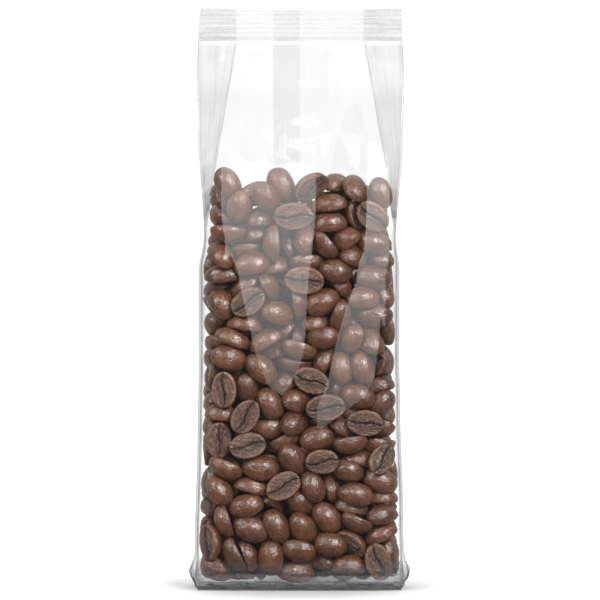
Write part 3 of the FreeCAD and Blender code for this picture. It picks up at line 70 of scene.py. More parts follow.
# beans: centre x, y, z, orientation quaternion w, x, y, z (long axis local X, dome local +Z), size step
BEANS = (
    (-23.17, -3.40, 129.83, 0.6481, 0.5706, 0.3880, -0.3223, 1),
    (-25.02, 6.01, 125.19, 0.2782, 0.7322, -0.0984, -0.6139, 2),
    (-14.09, -3.10, 126.73, 0.4471, 0.8796, 0.0009, 0.1626, 1),
    (-10.66, -8.38, 125.32, 0.4000, 0.8019, 0.3437, -0.2809, 0),
    (-5.90, -5.57, 129.12, 0.6180, 0.5741, 0.4017, -0.3565, 3),
    (-19.36, -7.74, 122.21, 0.5400, 0.5483, -0.6229, 0.1408, 1),
    (-12.46, -5.56, 117.39, 0.9014, 0.0754, -0.0216, 0.4257, 1),
    (-1.95, -11.22, 119.14, 0.7817, -0.6235, 0.0098, -0.0118, 4),
    (-22.98, -7.54, 114.74, 0.0933, 0.9926, -0.0725, -0.0275, 2),
    (-24.86, -3.37, 119.64, 0.2227, 0.7063, -0.6038, -0.2948, 2),
    (-15.07, -3.23, 112.34, 0.8846, 0.0654, -0.0929, -0.4523, 1),
    (-24.70, 0.86, 111.26, 0.8861, 0.2691, -0.1446, -0.3486, 0),
    (-17.21, -3.46, 109.42, 0.0573, 0.9970, 0.0183, 0.0485, 0),
    (-7.78, -8.90, 110.46, 0.7001, 0.0369, -0.7110, 0.0552, 2),
    (-4.41, -3.06, 110.08, 0.8098, -0.0765, 0.4763, -0.3340, 2),
    (2.02, -8.36, 111.76, 0.7233, -0.0398, -0.5814, 0.3704, 0),
    (-25.38, -7.02, 106.27, 0.8386, 0.1253, 0.2993, -0.4375, 1),
    (-15.35, -8.87, 103.52, 0.9415, 0.3185, -0.0890, 0.0655, 2),
    (2.38, -6.19, 105.07, 0.1925, 0.9743, 0.1159, 0.0164, 2),
    (-7.16, -3.86, 102.33, 0.9656, 0.0153, -0.0952, 0.2414, 1),
    (-24.82, -6.22, 99.85, 0.9844, 0.1624, -0.0367, -0.0574, 2),
    (1.38, -11.87, 98.73, 0.7237, -0.6889, 0.0304, 0.0277, 4),
    (-26.39, -0.46, 95.77, 0.8507, 0.0542, -0.1526, -0.5000, 2),
    (-17.27, -5.29, 96.39, 0.9443, 0.0794, -0.3167, -0.0422, 2),
    (-16.59, -11.84, 91.80, 0.6733, -0.6844, -0.1996, -0.1959, 2),
    (-10.35, -6.57, 96.14, 0.7738, 0.2918, 0.4688, 0.3102, 2),
    (-25.10, -7.73, 91.05, 0.7702, 0.3321, 0.3660, -0.4032, 0),
    (-27.52, -3.40, 89.07, 0.8840, 0.0020, 0.4583, -0.0917, 1),
    (-7.48, -8.34, 88.11, 0.8418, 0.4498, 0.1940, 0.2268, 2),
    (-0.79, -5.96, 90.90, 0.7207, 0.3024, 0.5850, 0.2166, 2),
    (-17.66, -7.48, 84.12, 0.9938, 0.0658, 0.0764, -0.0462, 2),
    (-26.72, 2.07, 84.40, -0.4561, -0.4195, 0.7582, 0.2028, 1),
    (-21.78, -7.37, 79.52, 0.9774, 0.1059, 0.1813, -0.0251, 2),
    (-26.07, 0.11, 79.14, 0.1830, 0.8978, -0.3962, -0.0588, 0),
    (-10.64, -8.13, 78.95, 0.9589, 0.0931, -0.2677, 0.0168, 2),
    (-0.17, -9.08, 77.43, 0.1688, 0.9762, 0.0265, -0.1334, 1),
    (-3.42, -1.18, 82.88, 0.7920, -0.1992, -0.3771, 0.4369, 2),
    (-22.75, -8.05, 73.85, 0.7300, 0.6670, 0.1473, -0.0221, 2),
    (-26.62, -0.33, 73.39, -0.3187, -0.5727, 0.7545, 0.0334, 3),
    (-12.59, -8.96, 70.48, 0.8120, 0.4676, 0.2989, -0.1804, 2),
    (-8.56, -2.52, 75.12, 0.9154, 0.0982, -0.0729, -0.3836, 3),
    (-1.86, -6.05, 72.77, -0.0260, 0.9906, -0.1060, -0.0820, 1),
    (-24.25, -11.00, 63.91, -0.4176, 0.5599, 0.4323, 0.5703, 2),
    (-26.66, 2.36, 63.87, 0.8098, -0.1293, -0.2950, -0.4903, 2),
    (-16.93, -7.12, 64.05, 0.6149, 0.4794, 0.6176, -0.1035, 1),
    (-5.61, -5.56, 65.36, 0.8545, 0.3552, -0.2100, -0.3155, 1),
    (3.76, -11.64, 66.79, 0.7675, -0.6117, 0.1472, 0.1226, 2),
    (-27.12, -1.15, 59.18, 0.6926, 0.1181, -0.2798, -0.6542, 0),
    (-25.25, -6.74, 55.52, 0.9921, 0.1109, 0.0341, 0.0485, 0),
    (-17.44, -11.70, 55.40, 0.6499, -0.5798, -0.3468, -0.3481, 2),
    (-9.47, -8.99, 59.36, 0.6575, 0.5780, 0.3689, -0.3121, 0),
    (-1.15, -7.87, 60.20, 0.8364, 0.4305, 0.1199, 0.3174, 1),
    (-27.13, -0.65, 52.54, 0.7327, -0.2870, -0.4765, 0.3920, 1),
    (-25.86, -8.48, 47.71, 0.5772, -0.4315, -0.5271, -0.4504, 2),
    (-10.18, -5.91, 51.74, 0.2887, 0.9547, 0.0284, 0.0662, 2),
    (-2.06, -7.69, 53.21, 0.7826, 0.3641, -0.0288, 0.5042, 3),
    (-16.65, -11.59, 46.06, 0.6265, -0.7745, -0.0601, -0.0631, 2),
    (-5.17, -6.27, 48.01, 0.0694, 0.9659, -0.0225, 0.2484, 1),
    (-30.15, 0.37, 44.18, 0.6584, -0.2973, 0.6266, -0.2926, 2),
    (-23.45, -8.20, 39.46, 0.1601, 0.9672, 0.0269, -0.1955, 2),
    (-12.46, -8.98, 38.77, 0.8146, 0.5786, 0.0399, -0.0088, 2),
    (-2.32, -8.69, 41.67, 0.5448, 0.6954, 0.4149, -0.2177, 2),
    (-27.67, -1.87, 34.25, 0.7721, -0.0015, -0.6276, 0.0995, 1),
    (-25.95, -7.74, 31.34, 0.8108, 0.3887, 0.3865, -0.2052, 0),
    (-15.74, -7.47, 32.13, 0.9929, 0.0431, 0.1110, -0.0058, 1),
    (-5.39, -11.78, 33.22, 0.6212, -0.7396, -0.1804, -0.1857, 2),
    (-17.11, -8.98, 26.63, 0.8976, 0.4260, -0.1133, 0.0054, 1),
    (-28.56, -1.35, 27.42, 0.0578, 0.6966, 0.6158, 0.3635, 1),
    (-30.22, 0.17, 18.13, -0.4248, 0.6469, -0.1933, 0.6031, 2),
    (-9.11, -3.96, 26.17, 0.8226, 0.0209, 0.2508, 0.5099, 3),
    (-3.46, -1.18, 26.52, 0.8235, 0.0876, 0.5214, 0.2055, 2),
    (-23.46, -8.15, 22.08, 0.0741, 0.8123, 0.0290, -0.5778, 0),
    (-29.22, -8.31, 15.11, -0.2227, 0.6410, 0.2589, 0.6873, 2),
    (-15.68, -8.44, 19.51, 0.5598, 0.8054, 0.0941, -0.1707, 3),
    (-7.71, -8.65, 20.28, 0.7839, 0.3542, 0.4758, -0.1834, 2),
    (-20.36, -8.30, 11.39, 0.0461, 0.8467, 0.0643, -0.5261, 2),
    (-17.40, -7.25, 10.57, 0.8251, -0.0579, 0.5609, -0.0367, 0),
    (-26.56, -4.54, 6.55, 0.8191, 0.5508, 0.1059, -0.1198, 1),
    (-9.19, -8.51, 10.09, 0.5538, 0.4275, -0.5962, 0.3939, 2),
    (0.82, -8.93, 19.89, 0.6122, 0.6201, 0.4330, -0.2308, 1),
    (-0.32, -8.80, 12.85, 0.3774, 0.9172, 0.0545, -0.1154, 1),
    (-1.31, -6.13, 5.06, 0.9551, 0.2823, 0.0367, 0.0817, 2),
    (8.61, -7.99, 23.06, 0.6180, 0.6610, 0.3310, -0.2678, 1),
    (9.73, -8.86, 14.30, 0.6146, 0.7834, 0.0424, -0.0824, 0),
    (6.62, -3.66, 8.95, 0.9283, 0.2084, 0.0583, -0.3025, 1),
    (15.69, -8.43, 7.21, 0.9331, 0.3565, 0.0353, 0.0306, 0),
    (16.11, -8.09, 14.60, 0.8653, -0.3978, 0.3040, 0.0233, 1),
    (25.00, -10.44, 8.99, 0.5557, -0.5894, 0.3297, 0.4848, 3),
    (27.67, -2.69, 11.59, 0.6867, 0.2797, 0.5709, -0.3525, 2),
    (26.04, -6.44, 17.10, 0.9651, 0.1308, -0.2234, 0.0390, 1),
    (26.92, -0.76, 21.39, 0.9064, -0.2527, -0.2294, 0.2491, 1),
    (26.17, -7.36, 23.33, 0.9343, 0.2386, -0.0331, 0.2628, 0),
    (18.36, -8.99, 22.27, 0.0711, 0.9775, 0.0307, -0.1964, 0),
    (16.21, -6.31, 25.70, 0.9895, 0.0823, 0.1099, 0.0450, 1),
    (17.74, -8.89, 30.14, 0.9371, 0.3350, 0.0979, 0.0121, 2),
    (26.01, -4.13, 28.37, 0.9998, 0.0041, -0.0165, 0.0140, 0),
    (25.56, -5.75, 34.52, 0.8914, 0.4239, 0.1403, -0.0774, 2),
    (26.08, -10.14, 41.74, 0.6606, -0.5862, -0.4477, -0.1402, 0),
    (25.13, -2.95, 46.89, 0.0640, 0.9765, 0.2024, -0.0374, 2),
    (19.21, -4.72, 40.31, 0.9864, 0.0017, 0.0766, 0.1454, 2),
    (15.97, -8.96, 47.43, 0.1088, 0.9897, 0.0054, 0.0931, 1),
    (20.62, -11.26, 53.38, 0.7677, -0.6369, 0.0187, 0.0682, 2),
    (25.94, -3.43, 52.32, 0.2219, 0.8537, -0.4629, -0.0873, 2),
    (12.78, -5.66, 51.89, 0.8973, 0.0781, 0.2887, -0.3247, 0),
    (5.38, -8.81, 48.23, 0.8968, 0.4285, -0.1077, 0.0227, 1),
    (4.53, -3.58, 50.91, 0.7885, -0.4800, 0.0099, -0.3844, 1),
    (7.00, -11.68, 41.06, 0.7817, -0.6229, -0.0277, 0.0098, 0),
    (3.95, -9.19, 32.92, 0.7151, 0.4260, 0.4598, -0.3094, 0),
    (9.31, -4.43, 32.87, 0.7253, -0.1615, 0.5812, -0.3318, 2),
    (15.35, -7.46, 38.32, 0.3444, 0.9241, 0.0217, -0.1639, 0),
    (0.73, -6.27, 27.78, 0.4738, 0.7836, 0.3984, 0.0523, 2),
    (8.15, -11.48, 58.23, 0.7945, -0.6057, -0.0420, -0.0077, 4),
    (18.42, -8.69, 61.67, 0.7755, 0.6184, 0.0471, -0.1181, 2),
    (19.81, -8.85, 70.96, 0.7075, 0.3790, 0.5241, -0.2847, 0),
    (11.79, -3.97, 65.70, 0.0949, 0.8383, 0.1604, 0.5123, 0),
    (25.55, -5.48, 59.30, 0.3534, 0.8598, -0.1899, 0.3160, 1),
    (25.23, -4.11, 64.51, 0.9814, 0.0959, -0.0732, 0.1496, 0),
    (26.19, 0.75, 72.77, -0.1370, 0.6295, 0.1127, 0.7565, 1),
    (24.39, -6.07, 72.37, 0.3824, 0.2967, 0.6560, 0.5792, 1),
    (7.80, -5.29, 73.30, 0.7681, -0.0194, -0.5348, 0.3516, 2),
    (12.71, -1.19, 73.40, 0.7668, 0.0297, -0.5033, 0.3973, 2),
    (7.12, -9.00, 91.81, 0.6784, 0.7030, -0.0656, 0.2030, 2),
    (11.44, -9.10, 101.68, 0.8482, 0.5261, 0.0581, -0.0216, 0),
    (13.31, -4.05, 95.96, 0.8762, 0.2125, 0.3527, 0.2504, 2),
    (5.55, -6.48, 84.34, 0.9532, 0.1286, -0.0318, 0.2717, 0),
    (7.47, -9.27, 80.69, 0.4000, 0.9147, -0.0268, 0.0501, 0),
    (12.18, -8.56, 87.36, 0.5584, 0.3064, 0.7709, 0.0028, 2),
    (16.56, -1.28, 85.85, 0.4211, 0.6593, -0.0114, -0.6228, 2),
    (16.97, -8.36, 80.09, 0.7056, 0.4494, -0.5442, -0.0636, 0),
    (20.17, -8.76, 92.90, 0.9206, 0.3871, 0.0013, 0.0525, 0),
    (23.86, -6.77, 87.63, 0.5358, 0.8435, -0.0353, -0.0157, 2),
    (23.39, -7.96, 99.41, 0.8994, 0.4180, 0.0949, 0.0855, 2),
    (17.40, -3.43, 99.80, 0.8557, 0.1224, 0.4576, 0.2082, 1),
    (25.64, -3.34, 105.25, 0.8509, 0.1103, 0.1179, -0.4998, 1),
    (28.95, 3.22, 98.87, 0.2227, 0.6965, -0.2152, -0.6473, 2),
    (25.82, -4.68, 94.31, 0.8190, -0.1940, 0.5044, -0.1930, 1),
    (22.61, -7.44, 78.89, 0.8081, 0.2140, 0.2692, -0.4783, 1),
    (28.30, -1.29, 83.09, 0.0125, 0.7224, 0.2674, -0.6376, 0),
    (16.91, -6.81, 105.85, 0.8273, 0.2932, 0.1295, 0.4613, 1),
    (14.66, -7.25, 111.86, 0.8451, 0.3867, -0.1672, -0.3289, 1),
    (23.44, -6.45, 110.77, 0.8795, 0.4549, 0.1192, -0.0729, 2),
    (8.52, -8.01, 110.69, 0.0898, 0.8991, 0.0337, -0.4271, 1),
    (9.44, -8.25, 116.75, 0.9615, 0.2736, -0.0194, 0.0178, 1),
    (9.56, -8.25, 122.31, 0.9779, 0.1192, -0.0638, -0.1596, 2),
    (9.70, -0.74, 126.34, -0.0254, 0.9564, -0.2904, 0.0161, 1),
    (11.29, -2.12, 128.92, 0.8756, 0.1369, 0.0128, 0.4630, 2),
    (3.57, -9.35, 128.42, 0.8600, -0.4207, -0.2419, -0.1578, 2),
    (17.36, -6.93, 127.70, 0.7698, 0.0577, 0.3701, -0.5169, 2),
    (15.67, 5.14, 124.99, 0.7583, -0.1190, -0.5747, 0.2838, 0),
    (18.74, -6.31, 119.40, -0.4996, 0.6827, -0.0206, -0.5329, 1),
    (23.22, -9.94, 119.09, 0.7046, -0.6235, 0.1621, 0.2977, 2),
    (25.76, -5.73, 126.69, 0.4060, 0.6620, 0.3142, -0.5460, 0),
    (21.48, 0.63, 125.43, 0.9027, 0.0910, 0.0278, 0.4195, 1),
    (27.30, 0.57, 113.39, -0.1634, 0.7734, 0.2726, -0.5485, 2),
    (0.29, -1.75, 81.66, 0.4192, 0.6996, 0.1678, 0.5538, 3),
    (26.38, 2.15, 56.08, 0.8073, 0.0970, 0.3205, -0.4860, 1),
    (11.87, 11.90, 89.78, 0.3747, 0.3872, -0.5759, 0.6149, 2),
    (26.28, 6.74, 3.78, 0.9839, 0.0024, -0.0238, -0.1771, 0),
    (-26.41, 7.30, 29.51, -0.2901, -0.1460, 0.7231, 0.6096, 2),
    (-21.27, 11.19, 117.08, 0.4295, 0.5297, -0.4883, 0.5445, 3),
    (13.57, 9.12, 39.98, 0.5684, 0.7390, -0.2476, -0.2636, 2),
    (-13.42, 11.94, 58.42, 0.5055, 0.5325, -0.4801, 0.4800, 3),
    (-3.69, 7.15, 6.81, -0.2311, -0.3261, 0.8334, 0.3816, 3),
    (3.06, 9.03, 119.28, 0.6712, -0.2883, -0.6184, -0.2897, 0),
    (-10.54, 8.75, 42.89, -0.0953, 0.6470, -0.3580, 0.6665, 0),
    (13.68, 9.04, 60.84, 0.0046, -0.0547, 0.0674, 0.9962, 1),
    (-22.44, 8.35, 87.59, 0.9157, -0.3919, -0.0636, 0.0620, 3),
    (14.76, 10.43, 104.66, 0.8283, 0.4367, -0.3142, 0.1564, 3),
    (-10.22, 8.89, 80.25, -0.1145, 0.0038, 0.9904, 0.0774, 3),
    (-8.45, 8.84, 23.41, 0.3262, 0.6793, -0.6316, 0.1826, 1),
    (25.63, 8.45, 26.38, -0.1169, 0.1957, 0.9097, -0.3472, 3),
    (-26.00, 6.95, 7.05, 0.0049, 0.9717, 0.1110, -0.2084, 3),
    (-24.36, 7.99, 45.11, -0.2125, -0.0048, 0.9772, 0.0017, 1),
    (-1.44, 8.98, 99.17, 0.9678, -0.1471, 0.0458, 0.1993, 0),
    (-5.84, 11.89, 110.13, -0.4095, -0.4380, 0.5706, -0.5611, 2),
    (12.14, 7.98, 13.62, -0.2445, 0.2626, 0.9206, -0.1543, 2),
    (24.74, 7.75, 73.15, 0.2272, 0.0516, 0.4093, 0.8821, 0),
    (-1.02, 8.65, 59.39, 0.7805, -0.1024, -0.6071, 0.1079, 3),
    (23.72, 10.85, 57.85, -0.2095, -0.0110, 0.7219, -0.6594, 3),
    (26.27, 6.91, 43.64, 0.2864, 0.6507, -0.3546, 0.6073, 2),
    (8.09, 6.81, 6.64, 0.4192, 0.4666, 0.6531, 0.4243, 1),
    (-12.48, 8.92, 15.67, 0.0048, 0.0922, 0.1214, 0.9883, 0),
    (-2.06, 9.10, 46.83, 0.4082, 0.8632, 0.2275, 0.1911, 2),
    (6.94, 9.07, 29.95, 0.1802, 0.9670, 0.1789, 0.0216, 0),
    (4.13, 11.99, 22.96, 0.1987, 0.2127, -0.6740, 0.6790, 1),
    (-24.79, 7.94, 70.48, -0.1230, -0.1416, 0.5384, 0.8216, 1),
    (11.48, 9.09, 74.71, 0.8885, 0.2992, -0.3435, -0.0548, 3),
    (15.07, 8.76, 115.19, -0.0511, 0.7266, 0.1384, 0.6710, 2),
    (5.45, 9.08, 103.14, -0.2459, 0.7258, 0.0519, 0.6404, 0),
    (2.00, 8.17, 10.57, 0.9841, -0.0982, 0.0346, 0.1439, 3),
    (-16.79, 8.87, 99.41, -0.2560, 0.0190, 0.7624, 0.5940, 1),
    (3.19, 8.71, 54.68, -0.2442, 0.9182, 0.2588, 0.1743, 2),
    (-10.67, 10.94, 86.19, 0.5222, 0.8527, 0.0110, 0.0058, 3),
    (-6.46, 8.80, 34.16, 0.7429, -0.2527, -0.6153, 0.0750, 1),
    (-25.97, 7.37, 13.29, -0.4931, 0.0159, 0.8640, -0.1002, 1),
    (18.69, 9.33, 45.41, 0.4459, 0.8524, -0.2571, -0.0917, 2),
    (-15.96, 9.39, 37.45, 0.9189, 0.2888, 0.2682, 0.0162, 2),
    (-2.73, 8.95, 17.01, 0.7786, -0.2938, -0.5445, -0.1054, 1),
    (-14.17, 8.12, 49.32, 0.5788, -0.2641, -0.0538, -0.7696, 0),
    (-0.55, 9.14, 87.34, 0.5392, -0.0416, -0.8319, -0.1240, 1),
    (-9.54, 10.29, 65.04, 0.1000, 0.3793, -0.4474, 0.8037, 3),
    (24.77, 10.67, 91.28, 0.6329, 0.5229, -0.4930, 0.2882, 0),
    (-13.54, 8.57, 6.63, 0.1965, 0.9743, -0.0358, 0.1045, 0),
    (24.24, 9.44, 65.46, 0.8678, 0.4315, -0.2465, -0.0054, 3),
    (17.67, 11.82, 30.90, 0.6706, 0.6710, -0.2413, 0.2045, 2),
    (-5.13, 11.98, 50.05, 0.6231, 0.6208, -0.3445, 0.3283, 1),
    (-26.08, 10.58, 21.62, 0.2221, -0.0263, 0.7116, -0.6660, 0),
    (15.71, 9.05, 75.57, -0.2708, 0.8828, -0.0104, 0.3837, 0),
    (-23.73, 11.05, 59.01, 0.7065, 0.6850, 0.1775, -0.0123, 3),
    (24.42, 10.59, 81.19, 0.6845, 0.6190, -0.3633, 0.1279, 2),
    (12.46, 8.65, 18.03, 0.9706, -0.1705, -0.0506, 0.1619, 2),
    (-17.23, 8.47, 44.24, -0.2601, 0.2289, 0.1265, 0.9295, 3),
    (-18.43, 8.24, 10.41, 0.7827, -0.3311, -0.5264, 0.0269, 1),
    (-14.49, 9.02, 73.70, -0.2897, 0.9501, -0.0540, 0.1021, 1),
    (-19.12, 7.74, 52.08, 0.6035, 0.1804, -0.4579, -0.6274, 0),
    (2.19, 8.69, 108.14, 0.6430, -0.0663, -0.7629, 0.0077, 3),
    (13.48, 8.91, 53.44, -0.3233, -0.2291, 0.9038, -0.1614, 3),
    (-18.20, 8.97, 22.85, -0.0226, 0.2489, -0.1215, 0.9606, 1),
    (26.39, 7.03, 16.96, 0.7926, -0.3552, -0.3058, -0.3899, 3),
    (-14.21, 9.17, 93.74, 0.0064, -0.0421, 0.9902, 0.1328, 0),
    (-2.46, 8.81, 38.81, 0.8784, 0.3216, 0.1209, 0.3323, 0),
    (11.86, 7.96, 23.37, 0.8917, 0.0786, -0.0243, 0.4451, 1),
    (1.63, 7.61, 5.45, -0.3790, 0.2114, -0.3026, 0.8486, 0),
    (8.24, 11.88, 111.33, 0.0708, 0.0964, -0.7018, 0.7023, 1),
    (10.02, 9.04, 66.31, -0.0194, -0.3920, 0.2479, 0.8857, 1),
    (-4.10, 7.75, 25.67, 0.7922, -0.3836, 0.0535, -0.4716, 3),
    (7.13, 11.97, 82.43, -0.2027, -0.2324, 0.6736, -0.6717, 0),
    (-19.43, 9.80, 66.65, 0.4208, 0.8956, 0.1246, 0.0729, 2),
    (-26.00, 10.43, 79.16, 0.4625, 0.6472, -0.3011, 0.5259, 0),
    (3.64, 9.12, 92.22, 0.5487, -0.4330, -0.5079, -0.5035, 2),
    (-5.13, 8.80, 120.97, 0.5044, -0.3571, -0.5528, -0.5589, 2),
    (18.60, 8.43, 21.00, 0.7872, 0.3324, 0.4882, 0.1772, 0),
    (7.42, 9.16, 35.69, -0.0944, -0.1556, 0.9579, -0.2222, 3),
    (26.45, 7.39, 12.63, 0.2637, 0.3941, 0.8285, -0.2980, 3),
    (-9.52, 7.89, 55.64, 0.4453, 0.7008, 0.2312, 0.5070, 0),
    (-24.21, 10.95, 95.77, 0.7025, 0.6400, 0.2883, -0.1178, 0),
    (17.05, 8.56, 95.86, 0.6446, -0.6029, 0.4308, 0.1883, 3),
    (-14.05, 11.84, 107.59, 0.3526, 0.3917, -0.6008, 0.6010, 2),
    (-4.53, 11.96, 71.94, -0.2366, -0.2274, 0.6732, -0.6626, 3),
    (-24.44, 10.92, 37.16, 0.1581, -0.0227, 0.7366, -0.6572, 2),
    (10.21, 11.65, 120.60, 0.4824, 0.5259, -0.5129, 0.4771, 0),
    (22.97, 10.92, 112.53, 0.5533, 0.4416, -0.5593, 0.4314, 3),
    (-11.24, 8.15, 9.88, 0.9771, -0.1635, -0.1071, 0.0836, 3),
    (-12.86, 11.96, 29.25, -0.3718, -0.4048, 0.5927, -0.5887, 3),
    (27.19, 9.76, 32.68, 0.6735, 0.4529, -0.5462, 0.2072, 1),
    (8.18, 11.97, 47.75, 0.1627, 0.1903, -0.6833, 0.6859, 0),
    (2.44, 7.43, 16.13, 0.8606, -0.0551, 0.0700, 0.5015, 1),
    (1.98, 10.22, 78.53, -0.0676, 0.1302, 0.8756, -0.4601, 2),
    (22.98, 10.98, 101.66, -0.2718, -0.1153, 0.7261, -0.6209, 3),
    (4.38, 8.93, 68.82, 0.7445, -0.0702, -0.6548, -0.1095, 3),
    (-20.15, 8.48, 16.33, 0.9097, -0.0873, -0.3927, 0.1032, 1),
    (-4.08, 9.20, 93.20, 0.9461, -0.0791, -0.3117, -0.0391, 0),
    (23.31, 11.14, 49.22, 0.6833, 0.7214, -0.0551, -0.0983, 1),
    (6.03, 9.17, 42.30, 0.5735, 0.4838, -0.6566, 0.0761, 2),
    (15.23, 8.45, 55.66, 0.8746, -0.2863, 0.1901, -0.3421, 0),
    (-0.62, 11.98, 32.65, -0.4374, -0.4424, 0.5544, -0.5528, 0),
    (-17.58, 8.71, 31.16, -0.3609, 0.2095, 0.6561, -0.6288, 0),
    (-20.38, 9.48, 79.55, 0.2278, 0.6876, -0.2166, 0.6545, 2),
    (21.19, 9.01, 36.85, 0.7645, 0.2963, -0.3073, 0.4829, 2),
    (-12.79, 8.97, 117.27, 0.6067, -0.5685, 0.4447, 0.3331, 1),
    (17.17, 11.12, 6.87, 0.7413, 0.6705, -0.0299, -0.0045, 3),
    (4.04, 8.80, 57.95, 0.7456, 0.2303, -0.2491, 0.5735, 1),
    (16.41, 9.01, 69.43, 0.0877, 0.9054, -0.2373, 0.3409, 0),
    (-25.59, 7.77, 51.67, -0.4166, -0.0255, 0.8553, 0.3070, 1),
    (-7.83, 9.09, 99.79, 0.7605, -0.0774, -0.6359, -0.1057, 1),
    (-23.12, 11.13, 105.62, 0.5672, 0.6701, -0.2865, 0.3837, 1),
    (16.97, 7.64, 13.42, -0.3275, 0.2475, -0.0689, 0.9093, 2),
    (16.58, 9.86, 84.84, 0.3295, 0.7828, -0.2718, 0.4526, 3),
    (-3.13, -1.30, 61.50, 0.6116, 0.6400, -0.1071, 0.4526, 0),
    (19.94, 1.89, 7.46, -0.2190, 0.7086, -0.6421, -0.1939, 3),
    (-27.53, 1.48, 8.41, -0.4101, -0.3761, -0.5134, 0.6533, 3),
    (-10.23, 3.53, 111.40, 0.9016, -0.2185, -0.2149, -0.3053, 0),
    (21.05, 1.88, 90.31, 0.5328, -0.1024, 0.4961, 0.6779, 2),
    (21.90, 2.43, 32.34, -0.0238, 0.7773, -0.5908, 0.2149, 0),
    (-20.81, 2.49, 87.90, 0.0862, 0.7284, 0.4077, -0.5438, 3),
    (-17.48, 4.01, 39.48, -0.4018, -0.2959, -0.6117, 0.6138, 1),
    (4.02, -5.31, 18.16, -0.2455, 0.4017, 0.6924, 0.5467, 3),
    (23.11, 2.09, 61.02, 0.1266, -0.1890, -0.1290, 0.9652, 2),
    (11.37, 2.95, 113.01, 0.5984, 0.3774, -0.1905, -0.6806, 2),
    (-18.90, -2.86, 25.12, 0.4071, 0.8582, -0.1925, 0.2465, 3),
    (8.77, 2.26, 82.51, 0.2885, 0.7174, 0.4116, -0.4824, 2),
    (-15.92, 4.77, 60.24, -0.4124, -0.3330, 0.6249, -0.5732, 3),
    (3.69, -0.46, 7.28, -0.4475, 0.8126, 0.3523, 0.1238, 2),
    (11.24, -3.24, 45.94, 0.3903, -0.2645, 0.0800, 0.8782, 0),
    (-21.37, -0.17, 105.27, -0.4795, 0.8606, -0.1185, -0.1240, 0),
    (20.42, 2.61, 80.14, 0.1639, -0.1528, 0.8545, 0.4686, 2),
    (-5.85, 0.51, 45.58, 0.6997, -0.6395, 0.1403, -0.2860, 0),
    (-3.57, 0.94, 97.87, -0.0685, -0.4936, 0.8622, 0.0905, 1),
    (-0.41, -2.94, 32.07, 0.8330, 0.4312, 0.3188, 0.1364, 1),
    (-14.27, 2.37, 74.95, 0.0678, -0.6324, 0.2067, 0.7435, 0),
    (14.93, -1.31, 19.87, 0.2164, 0.1180, 0.9661, -0.0770, 0),
    (-9.21, -3.64, 14.65, 0.2012, 0.8866, -0.2713, 0.3161, 1),
    (21.52, 6.01, 107.92, 0.6536, 0.7316, 0.1935, -0.0133, 1),
    (-14.56, 3.13, 88.68, -0.2341, -0.3760, 0.8671, -0.2278, 0),
    (4.70, -0.83, 96.50, 0.5797, -0.6912, -0.2925, 0.3172, 0),
    (9.87, 0.08, 28.47, 0.6062, -0.7334, -0.0068, 0.3075, 1),
    (19.00, -0.83, 47.12, 0.6359, -0.2397, -0.5941, -0.4303, 1),
    (-16.31, -0.32, 48.78, 0.7625, -0.3076, 0.2134, 0.5277, 2),
    (-19.60, 2.19, 73.45, 0.2927, -0.5971, -0.4459, 0.5991, 2),
    (-24.81, 2.18, 20.09, -0.1111, 0.4414, 0.4428, 0.7725, 2),
    (11.53, -1.20, 11.56, -0.4051, 0.2574, 0.0369, 0.8765, 1),
    (7.44, 1.69, 72.75, -0.1778, 0.7501, -0.3112, -0.5558, 0),
    (13.27, -3.48, 6.99, -0.0993, 0.4477, 0.8781, 0.1366, 3),
    (-10.53, -0.98, 5.98, 0.6941, -0.2845, -0.3272, 0.5747, 2),
    (14.67, 0.10, 58.90, -0.3923, 0.1681, 0.8754, 0.2270, 3),
    (3.74, -0.09, 110.42, 0.6864, 0.0277, -0.3660, -0.6278, 1),
    (-13.68, 0.05, 27.75, 0.8895, -0.4171, -0.1851, 0.0253, 2),
    (-19.04, -1.28, 122.99, -0.2159, 0.5908, -0.5341, -0.5648, 3),
    (2.10, -1.37, 116.21, 0.9297, -0.1155, 0.0146, 0.3494, 3),
    (-12.71, 0.83, 33.23, -0.3095, 0.0461, 0.1147, 0.9428, 1),
    (22.65, 9.12, 121.66, 0.8423, 0.5352, 0.0270, -0.0577, 2),
    (10.10, 4.21, 83.32, -0.3838, 0.5066, 0.2646, 0.7253, 0),
    (-22.16, -2.91, 38.09, 0.7948, -0.4495, 0.3943, 0.1036, 0),
    (19.18, -2.99, 11.08, 0.5292, -0.6988, 0.2817, -0.3901, 0),
    (-11.48, 4.21, 107.60, 0.2424, 0.3145, 0.8956, -0.2008, 1),
    (1.26, 0.29, 53.96, -0.2375, 0.0333, 0.4109, 0.8796, 0),
    (-11.87, 2.35, 94.69, -0.0695, -0.3955, 0.8327, -0.3812, 3),
    (15.27, 3.70, 67.38, 0.3595, 0.8772, 0.0345, -0.3164, 1),
    (9.81, -1.02, 38.85, 0.5115, 0.0183, 0.2126, 0.8324, 2),
    (-22.91, 0.49, 58.62, 0.5708, 0.2262, 0.7387, 0.2783, 0),
    (-19.70, -1.68, 68.07, 0.4427, 0.6078, 0.6020, -0.2686, 2),
    (2.20, 2.51, 25.40, 0.1020, 0.5679, 0.0801, 0.8128, 1),
    (11.42, 3.71, 93.35, 0.3336, 0.8719, -0.1846, 0.3072, 0),
    (-9.26, -0.10, 82.57, 0.5054, 0.2542, -0.5001, -0.6556, 3),
    (2.60, 0.97, 45.83, -0.1580, 0.4847, 0.7120, 0.4829, 0),
    (19.63, -0.74, 85.16, 0.6045, -0.7079, 0.1868, -0.3140, 0),
    (-1.41, -1.16, 13.40, 0.5860, -0.0999, 0.4531, -0.6643, 0),
    (-11.05, -5.76, 38.94, 0.7213, -0.6742, -0.0283, -0.1561, 1),
    (-11.26, -1.31, 42.58, 0.6480, -0.3908, 0.4482, 0.4759, 1),
    (10.71, 0.63, 103.00, 0.2297, -0.1108, 0.9031, -0.3455, 3),
